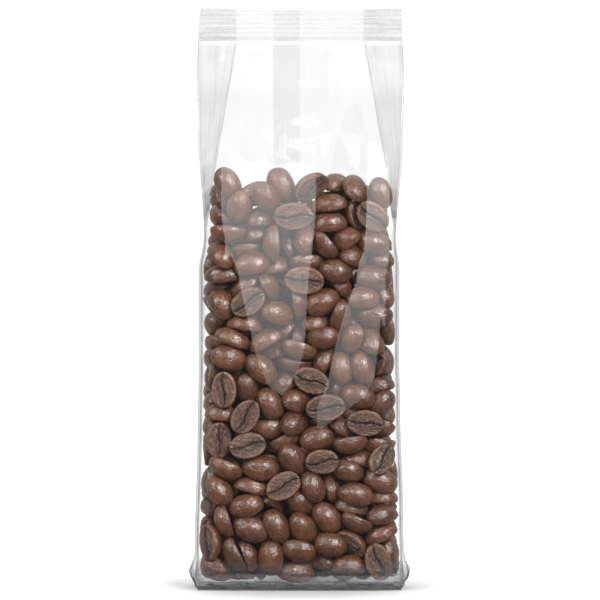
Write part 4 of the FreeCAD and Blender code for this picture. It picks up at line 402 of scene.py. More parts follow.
    (5.89, -1.82, 58.27, 0.6631, -0.3465, 0.1087, -0.6546, 2),
    (19.46, -2.46, 71.72, 0.3067, 0.6724, 0.1350, -0.6600, 2),
    (9.95, -2.01, 23.76, 0.2147, 0.7945, 0.5290, -0.2072, 0),
    (-6.34, 0.45, 36.23, 0.6736, 0.1617, 0.6942, 0.1955, 3),
    (-3.80, 2.07, 104.86, 0.5064, -0.4076, 0.6837, 0.3316, 1),
    (-12.00, -3.53, 20.06, 0.5646, 0.7697, -0.2216, 0.1992, 3),
    (27.68, -0.38, 8.98, -0.4597, 0.7534, -0.1456, -0.4471, 1),
    (17.05, -4.05, 56.56, -0.3843, 0.1992, -0.3799, 0.8175, 0),
    (19.03, -0.01, 24.99, -0.1353, -0.0137, 0.5399, 0.8306, 2),
    (0.12, -1.08, 70.65, -0.3420, 0.3980, 0.6159, 0.5876, 0),
    (-13.43, 2.85, 98.65, 0.4906, -0.1416, 0.4537, 0.7303, 3),
    (-19.11, 0.13, 82.17, -0.0565, 0.1375, 0.9345, -0.3233, 0),
    (20.01, 3.34, 38.09, 0.8149, 0.5272, 0.2045, -0.1274, 1),
    (-18.26, 0.81, 8.95, 0.7550, -0.1558, 0.4134, 0.4845, 1),
    (5.97, 1.36, 65.93, -0.0919, 0.9869, -0.1155, 0.0649, 0),
    (-3.36, -0.73, 7.71, -0.0095, -0.4847, 0.4725, 0.7361, 2),
    (-6.04, 4.50, 65.99, 0.2708, 0.7798, -0.3327, 0.4560, 3),
    (-20.40, -0.23, 28.34, 0.3949, -0.5267, -0.1252, 0.7423, 2),
    (-19.57, -1.16, 3.78, 0.2936, 0.0142, -0.0006, 0.9558, 0),
    (-18.72, -3.64, 44.37, 0.7719, -0.0780, 0.5726, 0.2650, 1),
    (-24.95, 0.68, 48.17, 0.6574, -0.1343, 0.6888, -0.2745, 3),
    (-6.24, -2.45, 90.52, -0.4150, 0.8757, 0.2426, 0.0459, 0),
    (8.03, -2.97, 89.14, 0.9442, -0.0318, 0.0037, -0.3277, 1),
    (-12.25, -2.57, 54.06, 0.8649, -0.2318, 0.0557, -0.4417, 2),
    (19.85, 4.68, 100.80, 0.1592, 0.2979, 0.7858, -0.5181, 2),
    (-17.99, 4.64, 116.50, 0.9080, 0.3883, 0.0433, 0.1510, 3),
    (22.54, 2.25, 70.75, 0.6911, -0.2461, -0.6739, -0.0875, 1),
    (4.75, 0.46, 107.58, 0.3637, 0.6667, 0.6498, 0.0305, 3),
    (11.64, 3.48, 109.13, -0.1327, 0.8649, -0.1142, 0.4704, 2),
    (1.50, 4.11, 36.38, 0.5209, 0.5848, -0.4892, 0.3839, 2),
    (-21.89, 2.54, 97.48, 0.1965, 0.2477, 0.4418, 0.8395, 1),
    (0.16, -1.81, 123.60, 0.5824, 0.1865, -0.2979, 0.7330, 0),
    (-2.96, 4.35, 115.57, -0.3256, 0.5035, 0.5059, 0.6201, 0),
    (1.74, -3.14, 43.69, 0.6181, 0.6426, -0.3243, 0.3159, 0),
    (-8.32, 5.29, 72.53, 0.6771, 0.6650, -0.0049, 0.3151, 0),
    (-12.78, 1.65, 21.67, -0.1423, 0.4960, 0.7513, 0.4113, 0),
    (-4.87, 1.00, 56.80, 0.7168, -0.2784, -0.5655, -0.2982, 0),
    (-15.96, 1.76, 13.98, 0.9210, -0.2608, 0.2215, -0.1865, 0),
    (-2.97, 3.32, 79.80, -0.2984, 0.6453, 0.5934, 0.3773, 0),
    (6.29, 6.29, 120.92, 0.0400, 0.1089, -0.6742, 0.7294, 0),
    (13.29, -7.80, 70.72, 0.3688, 0.5298, -0.3332, 0.6873, 0),
    (-11.53, -1.58, 65.35, 0.6734, -0.2709, -0.5862, -0.3599, 0),
    (-23.60, 3.49, 33.64, 0.6248, -0.2404, -0.6362, -0.3835, 0),
    (-3.63, 1.44, 21.35, -0.2515, 0.8808, 0.3800, -0.1284, 0),
    (6.05, 2.92, 16.40, 0.2871, 0.6833, -0.4625, 0.4865, 0),
    (-26.56, -6.62, 67.45, 0.6264, -0.2216, -0.6026, -0.4421, 0),
    (13.73, 2.94, 46.71, 0.7305, -0.4644, -0.3948, -0.3081, 0),
    (13.78, -2.50, 119.29, 0.8146, -0.5548, -0.1264, 0.1126, 0),
    (-18.94, 4.81, 110.34, -0.4408, 0.3234, 0.6598, 0.5156, 0),
    (-23.18, -3.88, 15.52, 0.6892, -0.6062, -0.2809, -0.2803, 0),
    (-8.88, -0.40, 120.64, 0.0151, 0.2063, 0.6058, 0.7683, 0),
    (28.86, 0.78, 37.82, 0.6146, 0.2185, -0.7451, 0.1394, 0),
    (-7.83, 4.07, 14.13, 0.4497, 0.4772, -0.4459, 0.6093, 0),
    (2.83, 5.91, 88.34, 0.3215, 0.5518, -0.4909, 0.5926, 0),
    (8.02, 2.07, 52.13, -0.4320, 0.7782, -0.0490, 0.4532, 0),
    (21.31, 3.14, 16.34, 0.3947, 0.3334, -0.5629, 0.6452, 0),
    (-28.70, 4.77, 104.19, 0.2087, 0.7527, -0.0711, 0.6204, 0),
    (10.25, 5.43, 96.65, -0.2228, 0.0834, 0.6062, 0.7589, 0),
    (13.84, 5.50, 33.68, -0.3754, -0.5875, 0.5883, -0.4096, 0),
)

GLOSS_FRONT, GLOSS_BACK = 0.11, 0.72
WORLD_LOW, WORLD_HIGH, WORLD_CAM = 0.70, 1.50, 1.117
KEY_W, FILL_W, TOP_W = 19.0, 8.0, 2.0
FLOOR_GLOW = 0.85
FLOOR_A, FLOOR_B = (0.315, 0.315, 0.315), (0.330, 0.330, 0.330)
# strip reflectors: low z, high z, radiance there
CARD_A, CARD_B = (0.060, 0.135, 1.40, 2.7), (0.050, 0.135, 1.25, 3.1)
BEAN_DARK, BEAN_LIGHT = (0.068, 0.0235, 0.0098), (0.105, 0.0390, 0.0175)
BEAN_DEEP, BEAN_PALE = (0.030, 0.0098, 0.0042), (0.150, 0.073, 0.043)
# the second colour here is a painted highlight on the rim of the flat side
BEAN_FLAT, BEAN_RIM_PAINTED_HIGHLIGHT = (0.145, 0.068, 0.037), (0.205, 0.102, 0.060)
WORLD_REAR = 0.5

def table(t, z, col=1):
    return np.interp(z, [r[0] for r in t], [r[col] for r in t])


def soft(t, z, col=1, h=2.2):
    return sum(table(t, z + h * k, col) for k in (-1.0, -0.5, 0.0, 0.5, 1.0)) / 5.0


def smooth(a, b, x):
    f = np.clip((x - a) / (b - a), 0.0, 1.0)
    return f * f * (3 - 2 * f)


def x_left(z):
    return soft(OUTLINE, z, 1)


def x_right(z):
    return soft(OUTLINE, z, 2)


def edge_depth(z):
    t = soft(TUCK, z)
    d = np.sqrt(np.maximum(GUSSET_W ** 2 - t * t, 0.0)) - CORNER_EASE * table(EASE, z)
    return d


def corner_in(z):
    return 1.1 * soft(EASE, z)


def face_y(u, z):
    """half depth of the wide faces, closing up to the stacked plies under the crimped band"""
    d = edge_depth(z)
    full = d + (soft(BULGE, z) + CORNER_EASE * table(EASE, z)) * (1.0 - np.abs(u) ** 5)
    k = smooth(169.0, SEAL_BOTTOM, z)
    return full * (1 - k) + 0.30 * k


def panel_x(u, z):
    k = smooth(172.0, SEAL_BOTTOM, z)
    ci = corner_in(z) * (1 - k)
    left, right = x_left(z) + ci, x_right(z) - ci
    return 0.5 * (left + right) + 0.5 * (right - left) * u


# ------------------------------------------------------------------ small field helpers
def waves(seed, count, lo, hi, stretch=1.0):
    """a smooth random field of x and z, in -1..1, with wavelengths from lo to hi millimetres"""
    r = np.random.default_rng(seed)
    out = []
    for _ in range(count):
        wl = math.exp(r.uniform(math.log(lo), math.log(hi)))
        a = r.uniform(0, math.pi)
        out.append((math.cos(a) * 2 * math.pi / wl, math.sin(a) * 2 * math.pi / (wl * stretch), r.uniform(0, 2 * math.pi), r.uniform(0.5, 1.0)))
    tot = sum(o[3] for o in out) * 0.5

    def f(x, z):
        return sum(w * np.sin(kx * x + kz * z + p) for kx, kz, p, w in out) / tot
    return f


def crease(x, z, p, q, amp, width, sharp=1.0):
    """a ridge along the line p to q, fading at its ends"""
    dx, dz = q[0] - p[0], q[1] - p[1]
    m2 = dx * dx + dz * dz
    t = ((x - p[0]) * dx + (z - p[1]) * dz) / m2
    d = np.abs((x - p[0]) * dz - (z - p[1]) * dx) / math.sqrt(m2)
    along = np.clip(1 - (2 * t - 1) ** 2, 0, 1)
    return amp * np.exp(-(d / width) ** (1.0 + sharp)) * along


def dent(x, z, cx, cz, rx, rz, amp):
    return amp * np.exp(-((x - cx) / rx) ** 2 - ((z - cz) / rz) ** 2)


# ------------------------------------------------------------------ materials
def shader(name):
    m = bpy.data.materials.new(name)
    m.use_nodes = True
    m.node_tree.nodes.clear()
    return m, m.node_tree.nodes, m.node_tree.links


def node(nodes, kind, **kw):
    n = nodes.new(kind)
    for k, v in kw.items():
        setattr(n, k, v)
    return n


def mathn(nt, op, a, b=None, clamp=False):
    n = nt.nodes.new("ShaderNodeMath")
    n.operation = op
    n.use_clamp = clamp
    for i, v in enumerate((a, b)):
        if v is None:
            continue
        if isinstance(v, (int, float)):
            n.inputs[i].default_value = v
        else:
            nt.links.new(v, n.inputs[i])
    return n.outputs[0]


def mixc(nt, fac, a, b, blend="MIX"):
    n = nt.nodes.new("ShaderNodeMix")
    n.data_type = "RGBA"
    n.blend_type = blend
    for sock, v in ((n.inputs[0], fac), (n.inputs[6], a), (n.inputs[7], b)):
        if isinstance(v, (int, float)):
            sock.default_value = v
        elif isinstance(v, tuple):
            sock.default_value = (*v, 1.0)
        else:
            nt.links.new(v, sock)
    return n.outputs[2]


def noise(nt, vec, scale, detail=4.0, rough=0.55, dist=0.0):
    n = nt.nodes.new("ShaderNodeTexNoise")
    n.inputs["Scale"].default_value = scale
    n.inputs["Detail"].default_value = detail
    n.inputs["Roughness"].default_value = rough
    n.inputs["Distortion"].default_value = dist
    nt.links.new(vec, n.inputs["Vector"])
    return n.outputs[0]


def ramp(nt, fac, stops):
    n = nt.nodes.new("ShaderNodeValToRGB")
    e = n.color_ramp.elements
    while len(e) < len(stops):
        e.new(0.5)
    for el, (p, c) in zip(e, stops):
        el.position = p
        el.color = (*c, 1.0) if isinstance(c, tuple) else (c, c, c, 1.0)
    nt.links.new(fac, n.inputs[0])
    return n.outputs[0]


def maprange(nt, v, a, b, c, d, kind="LINEAR"):
    n = nt.nodes.new("ShaderNodeMapRange")
    n.interpolation_type = kind
    n.inputs[1].default_value, n.inputs[2].default_value = a, b
    n.inputs[3].default_value, n.inputs[4].default_value = c, d
    nt.links.new(v, n.inputs[0])
    return n.outputs[0]


def attr(nt, name, out="Fac"):
    n = nt.nodes.new("ShaderNodeAttribute")
    n.attribute_name = name
    return n.outputs[out]


def film_material(name, haze_lo, haze_hi, gloss_lo, gloss_hi, f0=0.042, grey=(0.12, 0.12, 0.122), clear=(0.985, 0.986, 0.988), edge=(0.60, 0.61, 0.62), bump=0.0, bump_scale=900.0):
    """thin clear plastic film: see-through, a mirror skin on top, greyer where it turns away, and hazed grey where its
    haze attribute is high, which holds painted shade at folds, edges, the crumpled foot, the base and the seal ribs
    """
    m, nodes, links = shader(name)
    nt = m.node_tree
    out = node(nodes, "ShaderNodeOutputMaterial")
    geo = node(nodes, "ShaderNodeTexCoord")
    obj = geo.outputs["Object"]
    # the haze attribute: a little haze of the film itself, and painted shade at folds, edges, the crumpled foot, the
    # base and the seal ribs
    haze_shade = attr(nt, "haze_shade")
    fine = noise(nt, obj, bump_scale, 3.0, 0.6)
    broad = noise(nt, obj, 90.0, 3.0, 0.5)
    haze = mathn(nt, "MULTIPLY", maprange(nt, haze_shade, 0.0, 1.0, haze_lo, haze_hi), maprange(nt, broad, 0.3, 0.7, 0.75, 1.25), clamp=True)
    lw = node(nodes, "ShaderNodeLayerWeight")
    lw.inputs["Blend"].default_value = 0.5
    facing = mathn(nt, "POWER", lw.outputs["Facing"], 4.0)
    tint = mixc(nt, facing, clear, edge)
    tr = node(nodes, "ShaderNodeBsdfTransparent")
    links.new(tint, tr.inputs["Color"])
    bumpn = node(nodes, "ShaderNodeBump")
    bumpn.inputs["Distance"].default_value = 0.00004
    links.new(mathn(nt, "MULTIPLY", haze_shade, bump), bumpn.inputs["Strength"])
    links.new(fine, bumpn.inputs["Height"])
    gl = node(nodes, "ShaderNodeBsdfGlossy")
    gl.inputs["Color"].default_value = (1, 1, 1, 1)
    links.new(mathn(nt, "ADD", maprange(nt, haze_shade, 0.0, 1.0, gloss_lo, gloss_hi), mathn(nt, "MULTIPLY", attr(nt, "soft"), 0.16)), gl.inputs["Roughness"])
    links.new(bumpn.outputs[0], gl.inputs["Normal"])
    df = node(nodes, "ShaderNodeBsdfDiffuse")
    links.new(mixc(nt, maprange(nt, fine, 0.3, 0.7, 0.0, 1.0), grey, tuple(min(1.0, g * 1.25) for g in grey)), df.inputs["Color"])
    links.new(bumpn.outputs[0], df.inputs["Normal"])
    body = node(nodes, "ShaderNodeMixShader")
    links.new(haze, body.inputs[0])
    links.new(tr.outputs[0], body.inputs[1])
    links.new(df.outputs[0], body.inputs[2])
    # the mirror skin of both faces of a thin sheet, the same from either side
    grazing = mathn(nt, "POWER", lw.outputs["Facing"], 5.0)
    fres = mathn(nt, "ADD", mathn(nt, "MULTIPLY", grazing, 1.0 - f0), f0, True)
    skin = node(nodes, "ShaderNodeMixShader")
    # softened places shine less
    links.new(mathn(nt, "MULTIPLY", fres, mathn(nt, "SUBTRACT", 1.0, mathn(nt, "MULTIPLY", attr(nt, "soft"), 0.97, True))), skin.inputs[0])
    links.new(body.outputs[0], skin.inputs[1])
    links.new(gl.outputs[0], skin.inputs[2])
    links.new(skin.outputs[0], out.inputs[0])
    return m


def bean_material():
    """roasted skin: satin brown with small dimples on the dome; on the flat side a jagged seam, side cracks and
    wrinkles, darkened with painted shade, inside a rim lightened with a painted highlight
    """
    m, nodes, links = shader("roasted_bean_skin")
    nt = m.node_tree
    out = node(nodes, "ShaderNodeOutputMaterial")
    bsdf = node(nodes, "ShaderNodeBsdfPrincipled")
    links.new(bsdf.outputs[0], out.inputs[0])
    loc = attr(nt, "bean_co", "Vector")
    tint = attr(nt, "tint")
    groove = attr(nt, "groove")
    flat = attr(nt, "flat")
    seam = attr(nt, "seam")
    painted_rim_highlight = attr(nt, "painted_rim_highlight")

    def stretched(sx, sy, sz=1.0):
        mp = node(nodes, "ShaderNodeMapping")
        mp.inputs["Scale"].default_value = (sx, sy, sz)
        links.new(loc, mp.inputs["Vector"])
        return mp.outputs[0]

    def line(field, width):
        """1 on the mid line of a noise field, falling to 0 at the given half width"""
        return maprange(nt, mathn(nt, "ABSOLUTE", mathn(nt, "SUBTRACT", field, 0.5)), 0.0, width, 1.0, 0.0, "SMOOTHSTEP")

    long = stretched(0.5, 1.0)
    broad = noise(nt, loc, 0.30, 2.0, 0.5)
    mottle = noise(nt, long, 0.75, 3.0, 0.55, 0.5)
    grain = noise(nt, stretched(0.7, 1.0), 1.35, 2.5, 0.5, 0.2)
    pores = noise(nt, loc, 5.0, 2.0, 0.5)
    # cracks that run out from the seam, and finer wrinkles beside it
    wrinkle = line(noise(nt, stretched(0.34, 1.0), 0.62, 1.5, 0.55, 1.2), 0.095)
    branch = line(noise(nt, stretched(0.75, 0.8), 0.50, 2.0, 0.55, 1.8), 0.075)
    away = mathn(nt, "ABSOLUTE", seam)
    near = maprange(nt, away, 0.6, 2.6, 1.0, 0.25, "SMOOTHSTEP")
    wander = mathn(nt, "MULTIPLY", mathn(nt, "SUBTRACT", noise(nt, stretched(1.0, 0.15, 0.15), 1.7, 3.0, 0.75), 0.5), 1.35)
    seam_d = mathn(nt, "ABSOLUTE", mathn(nt, "ADD", seam, wander))
    seam_painted_shade = mathn(nt, "MULTIPLY", maprange(nt, seam_d, 0.07, 0.23, 1.0, 0.0, "SMOOTHSTEP"), flat, True)
    cracks = mathn(nt, "MULTIPLY", mathn(nt, "MULTIPLY", branch, near), flat, True)
    wrinkles = mathn(nt, "MULTIPLY", wrinkle, mathn(nt, "ADD", mathn(nt, "MULTIPLY", flat, 0.80), 0.04), True)
    base = mixc(nt, maprange(nt, broad, 0.34, 0.66, 0.0, 1.0), BEAN_DARK, BEAN_LIGHT)
    base = mixc(nt, maprange(nt, mottle, 0.32, 0.60, 0.45, 0.0), base, BEAN_DEEP)
    base = mixc(nt, tint, base, mixc(nt, 1.0, base, (0.62, 0.55, 0.50), "MULTIPLY"))
    base = mixc(nt, maprange(nt, grain, 0.54, 0.72, 0.0, 0.38), base, BEAN_PALE)
    base = mixc(nt, mathn(nt, "MULTIPLY", flat, maprange(nt, grain, 0.42, 0.62, 0.0, 0.45)), base, BEAN_FLAT)
    # painted highlight: the rim round the flat side is lightened
    base = mixc(nt, mathn(nt, "MULTIPLY", painted_rim_highlight, 0.55), base, BEAN_RIM_PAINTED_HIGHLIGHT)
    # painted shade: wrinkles, cracks, the crease groove and the seam are painted dark
    base = mixc(nt, mathn(nt, "MULTIPLY", wrinkles, 0.66), base, (0.026, 0.0105, 0.0055))
    base = mixc(nt, mathn(nt, "MULTIPLY", cracks, 0.92), base, (0.008, 0.0040, 0.0026))
    base = mixc(nt, mathn(nt, "MULTIPLY", groove, 0.40, True), base, (0.010, 0.005, 0.0035))
    base = mixc(nt, seam_painted_shade, base, (0.0045, 0.0026, 0.0019))
    links.new(base, bsdf.inputs["Base Color"])
    rough = mathn(nt, "ADD", maprange(nt, grain, 0.3, 0.7, 0.24, 0.38), mathn(nt, "MULTIPLY", flat, 0.16))
    dark = mathn(nt, "MAXIMUM", mathn(nt, "MAXIMUM", cracks, seam_painted_shade), mathn(nt, "MULTIPLY", wrinkles, 0.6))
    links.new(mathn(nt, "ADD", rough, mathn(nt, "MULTIPLY", dark, 0.40), True), bsdf.inputs["Roughness"])
    bsdf.inputs["Specular IOR Level"].default_value = 0.66
    h = mathn(nt, "MULTIPLY", grain, 0.62)
    h = mathn(nt, "ADD", h, mathn(nt, "MULTIPLY", mottle, 1.15))
    h = mathn(nt, "ADD", h, mathn(nt, "MULTIPLY", pores, 0.10))
    h = mathn(nt, "SUBTRACT", h, mathn(nt, "MULTIPLY", wrinkles, 0.65))
    h = mathn(nt, "SUBTRACT", h, mathn(nt, "MULTIPLY", cracks, 0.85))
    b = node(nodes, "ShaderNodeBump")
    b.inputs["Strength"].default_value = 0.72
    b.inputs["Distance"].default_value = 0.00040
    links.new(h, b.inputs["Height"])
    links.new(b.outputs[0], bsdf.inputs["Normal"])
    return m


MAT_FILM = film_material("clear_film", 0.0, 0.80, 0.012, 0.22, f0=0.068, grey=(0.085, 0.086, 0.088), clear=(0.982, 0.982, 0.983), edge=(0.44, 0.45, 0.46), bump=0.35)
MAT_CRIMP = film_material("crimped_film_skin", 0.0, 0.42, 0.22, 0.34, f0=0.035, grey=(0.24, 0.242, 0.245), clear=(0.950, 0.950, 0.951), edge=(0.45, 0.46, 0.47), bump=0.15)
# the base plies are darkened grey all over, mostly painted shade under the bag
MAT_BASE = film_material("base_film_painted_shade", 0.30, 0.95, 0.16, 0.32, grey=(0.075, 0.076, 0.078), clear=(0.70, 0.70, 0.71), edge=(0.3, 0.3, 0.31), bump=0.5)
MAT_BEAN = bean_material()


# ------------------------------------------------------------------ mesh helpers
def grid_mesh(name, pts, uv, mat, closed=False, attrs=None, body=None):
    """pts[row][col] in mm; closed joins the last column to the first"""
    nr, nc = pts.shape[:2]
    r = np.arange(nr - 1)[:, None]
    c = np.arange(nc if closed else nc - 1)[None, :]
    c1 = (c + 1) % nc
    quads = np.stack(np.broadcast_arrays(r * nc + c, r * nc + c1, (r + 1) * nc + c1, (r + 1) * nc + c), -1).reshape(-1, 4)
    me = bpy.data.meshes.new(name)
    verts = pts.reshape(-1, 3) * 0.001
    me.vertices.add(len(verts))
    me.vertices.foreach_set("co", verts.astype(np.float32).ravel())
    me.loops.add(quads.size)
    me.loops.foreach_set("vertex_index", quads.astype(np.int32).ravel())
    me.polygons.add(len(quads))
    me.polygons.foreach_set("loop_start", np.arange(0, quads.size, 4, dtype=np.int32))
    me.polygons.foreach_set("use_smooth", np.ones(len(quads), bool))
    me.update(calc_edges=True)
    us, vs = uv
    uu, vv = np.meshgrid(us, vs)
    ncu = nc + 1 if closed else nc
    cc = np.broadcast_to(c, (nr - 1, c.shape[1]))
    rr = np.broadcast_to(r, (nr - 1, c.shape[1]))
    lu = np.stack([uu[rr, cc], uu[rr, cc + 1], uu[rr + 1, cc + 1], uu[rr + 1, cc]], -1).reshape(-1)
    lv = np.stack([vv[rr, cc], vv[rr, cc + 1], vv[rr + 1, cc + 1], vv[rr + 1, cc]], -1).reshape(-1)
    layer = me.uv_layers.new(name="OFBake")
    layer.data.foreach_set("uv", np.stack([lu, lv], -1).astype(np.float32).ravel())
    for k, v in (attrs or {}).items():
        a = me.attributes.new(k, "FLOAT", "POINT")
        a.data.foreach_set("value", np.asarray(v, np.float32).ravel())
    me.materials.append(mat)
    me.validate()
    ob = bpy.data.objects.new(name, me)
    bpy.context.scene.collection.objects.link(ob)
    if body:
        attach(ob, body)
    return ob


# ------------------------------------------------------------------ the tube of film: front, back and both gussets in one web
def half_cosine(n, power=1.0):
    return np.sign(np.linspace(-1, 1, n)) * np.abs(np.linspace(-1, 1, n)) ** power


def dense_ends(n):
    t = np.linspace(-1, 1, n)
    return 0.72 * t + 0.28 * np.sin(t * math.pi / 2)


U_FRONT = dense_ends(118)
U_BACK = dense_ends(118)[::-1]
V_PLY = (1 - np.cos(np.linspace(0, math.pi, 27))) / 2 * 0.55 + np.linspace(0, 1, 27) * 0.45

ROWS = np.concatenate([
    np.linspace(PANEL_BOTTOM, 15.0, 46)[:-1], np.linspace(15.0, 104.0, 62)[:-1],
    np.linspace(104.0, 166.0, 66)[:-1], np.linspace(166.0, SEAL_BOTTOM, 20)])

RIP_HEAD = waves(11, 9, 14.0, 46.0, 1.6)
RIP_FINE = waves(12, 8, 5.0, 13.0, 1.5)
RIP_BACK = waves(13, 10, 12.0, 40.0, 1.5)
CRUMPLE_A = waves(21, 9, 4.0, 12.0, 0.6)
CRUMPLE_B = waves(22, 9, 2.0, 6.0, 0.7)
GUS_RIP = waves(23, 8, 6.0, 24.0, 2.0)
FOOT_RIP = waves(24, 7, 9.0, 26.0, 0.5)

EAR = ((0.0, -0.25), (1.6, -0.05), (2.2, 0.15), (3.4, 1.05), (4.4, 1.55), (5.6, 1.80), (7.4, 1.15), (9.4, 0.45), (11.2, 0.05), (13.0, 0.0), (200.0, 0.0))


def foot_fade(z):
    return 1 - smooth(4.5, 10.5, z)


def ridge(v, k=0.75):
    """sharp-crested version of a smooth field"""
    return 1 - 2 * np.abs(v) ** k


def front_out(x, z):
    """how far the front face stands out from its plain shape"""
    head = smooth(133.0, 150.0, z) * (1 - smooth(170.0, 175.8, z))
    y = head * (0.10 * RIP_HEAD(x, z) + 0.012 * RIP_FINE(x, z))
    y = y + 0.030 * (RIP_BACK(x, z + 40)) * (1 - smooth(30.0, 70.0, z)) * (1 - head)
    y = y + crease(x, z, (-20, 175), (-25, 150), 0.22, 1.3) * head + crease(x, z, (21, 175), (24, 148), 0.22, 1.3) * head
    y = y + crease(x, z, (10, 136), (17, 157), 0.10, 3.0) * head + crease(x, z, (22, 134), (18, 157), 0.10, 3.0) * head
    foot = foot_fade(z)
    y = y + foot * (0.22 * ridge(CRUMPLE_A(x, z)) + 0.12 * ridge(CRUMPLE_B(x, z)) - 0.14)
    for p, q, a in EAR_LINES:
        y = y + crease(x, z, p, q, 0.22 * a, 0.40)
    y = y - 0.9 * np.exp(-((z - 4.9 - 0.5 * FOOT_RIP(x, z * 0)) / 0.9) ** 2) + 0.30 * np.exp(-((z - 2.9 - 0.3 * FOOT_RIP(x, z * 0 + 9)) / 0.55) ** 2)
    return y


# folds that fan out from the tips of the two base ears: ends (x, z) and sign
EAR_LINES = (((-34.5, 4.6), (-28.5, 9.8), 1.0), ((-34.5, 4.8), (-30.5, 11.5), -1.0), ((-34.5, 4.4), (-26.0, 6.6), -1.0), ((-34.5, 4.2), (-29.0, 2.2), 1.0),
             ((34.5, 4.6), (28.5, 9.4), 1.0), ((34.5, 4.9), (30.2, 11.2), -1.0), ((34.5, 4.4), (25.0, 6.0), -1.0), ((34.5, 4.2), (28.0, 2.3), 1.0))
# soft grey patches painted into the clear headspace of the front sheet: centre x, z, radii, strength
HEAD_GREY_PATCHES = ((-28.2, 171.3, 2.4, 3.6, 0.14), (24.4, 172.6, 2.2, 2.8, 0.15), (-15.0, 171.6, 1.7, 1.3, 0.06), (-22.0, 160.0, 5.0, 9.0, 0.03), (26.0, 150.0, 3.0, 9.0, 0.03))
# grey lines painted along folds of the front sheet, painted shade of the folds: ends, strength, width
HEAD_FOLD_SHADE_LINES = (((-24.6, 155.0), (-27.6, 133.0), 0.30, 0.30), ((23.6, 163.0), (27.2, 136.0), 0.26, 0.28), ((-21.2, 174.5), (-22.4, 160.0), 0.16, 0.35), ((21.4, 174.5), (23.0, 160.0), 0.16, 0.35),
              ((-26.6, 174.0), (-27.4, 150.0), 0.10, 0.5), ((29.8, 172.0), (30.4, 146.0), 0.10, 0.5))
STREAK = waves(61, 9, 1.5, 6.5, 9.0)


def head_painted_shade(x, z):
    """greyness painted into the headspace of the front sheet: grey patches, painted shade along the fold lines and in
    one faint tall arch, faint streaks and a faint grey band near the top
    """
    head = smooth(126.0, 134.0, z) * (1 - smooth(173.5, 175.5, z))
    w = 0.0 * x
    for cx, cz, rx, rz, a in HEAD_GREY_PATCHES:
        w = w + a * np.exp(-(((x - cx) / rx) ** 4 + ((z - cz) / rz) ** 4))
    for p, q, a, width in HEAD_FOLD_SHADE_LINES:
        w = w + crease(x, z, p, q, a, width)
    f = np.clip((z - 127.0) / 28.0, 0.0, 1.0)
    half = 6.4 * np.sqrt(np.clip(1 - f ** 1.7, 0.0, 1.0))
    w = w + 0.085 * (1 - smooth(half - 0.5, half + 0.5, np.abs(x - 15.4 - 2.0 * f))) * (z < 155.0)
    w = w + 0.012 * (1 + STREAK(x * 0.5, z)) * smooth(120.0, 150.0, z) + 0.055 * smooth(150.0, 163.0, z)
    return w * head


PUCKERS = ((0.2, 169.3, 2.3, 1.0, -0.55), (2.3, 161.3, 4.6, 1.5, -0.8), (1.3, 148.8, 3.2, 1.5, -0.75), (0.6, 141.1, 2.2, 1.5, -0.65))


def back_out(x, z):
    head = smooth(118.0, 140.0, z) * (1 - smooth(170.0, 175.8, z))
    y = head * (0.12 * RIP_BACK(x, z) + 0.02 * RIP_FINE(x + 50, z))
    for cx, cz, rx, rz, a in PUCKERS:
        y = y + dent(x, z, cx, cz, rx, rz, a)
    foot = foot_fade(z)
    y = y + foot * (0.26 * ridge(CRUMPLE_A(x + 30, z)) + 0.14 * ridge(CRUMPLE_B(x - 30, z)) - 0.15)
    y = y + 0.10 * RIP_HEAD(x + 21, z) * (1 - smooth(90.0, 120.0, z)) * smooth(10.0, 24.0, z)
    return y


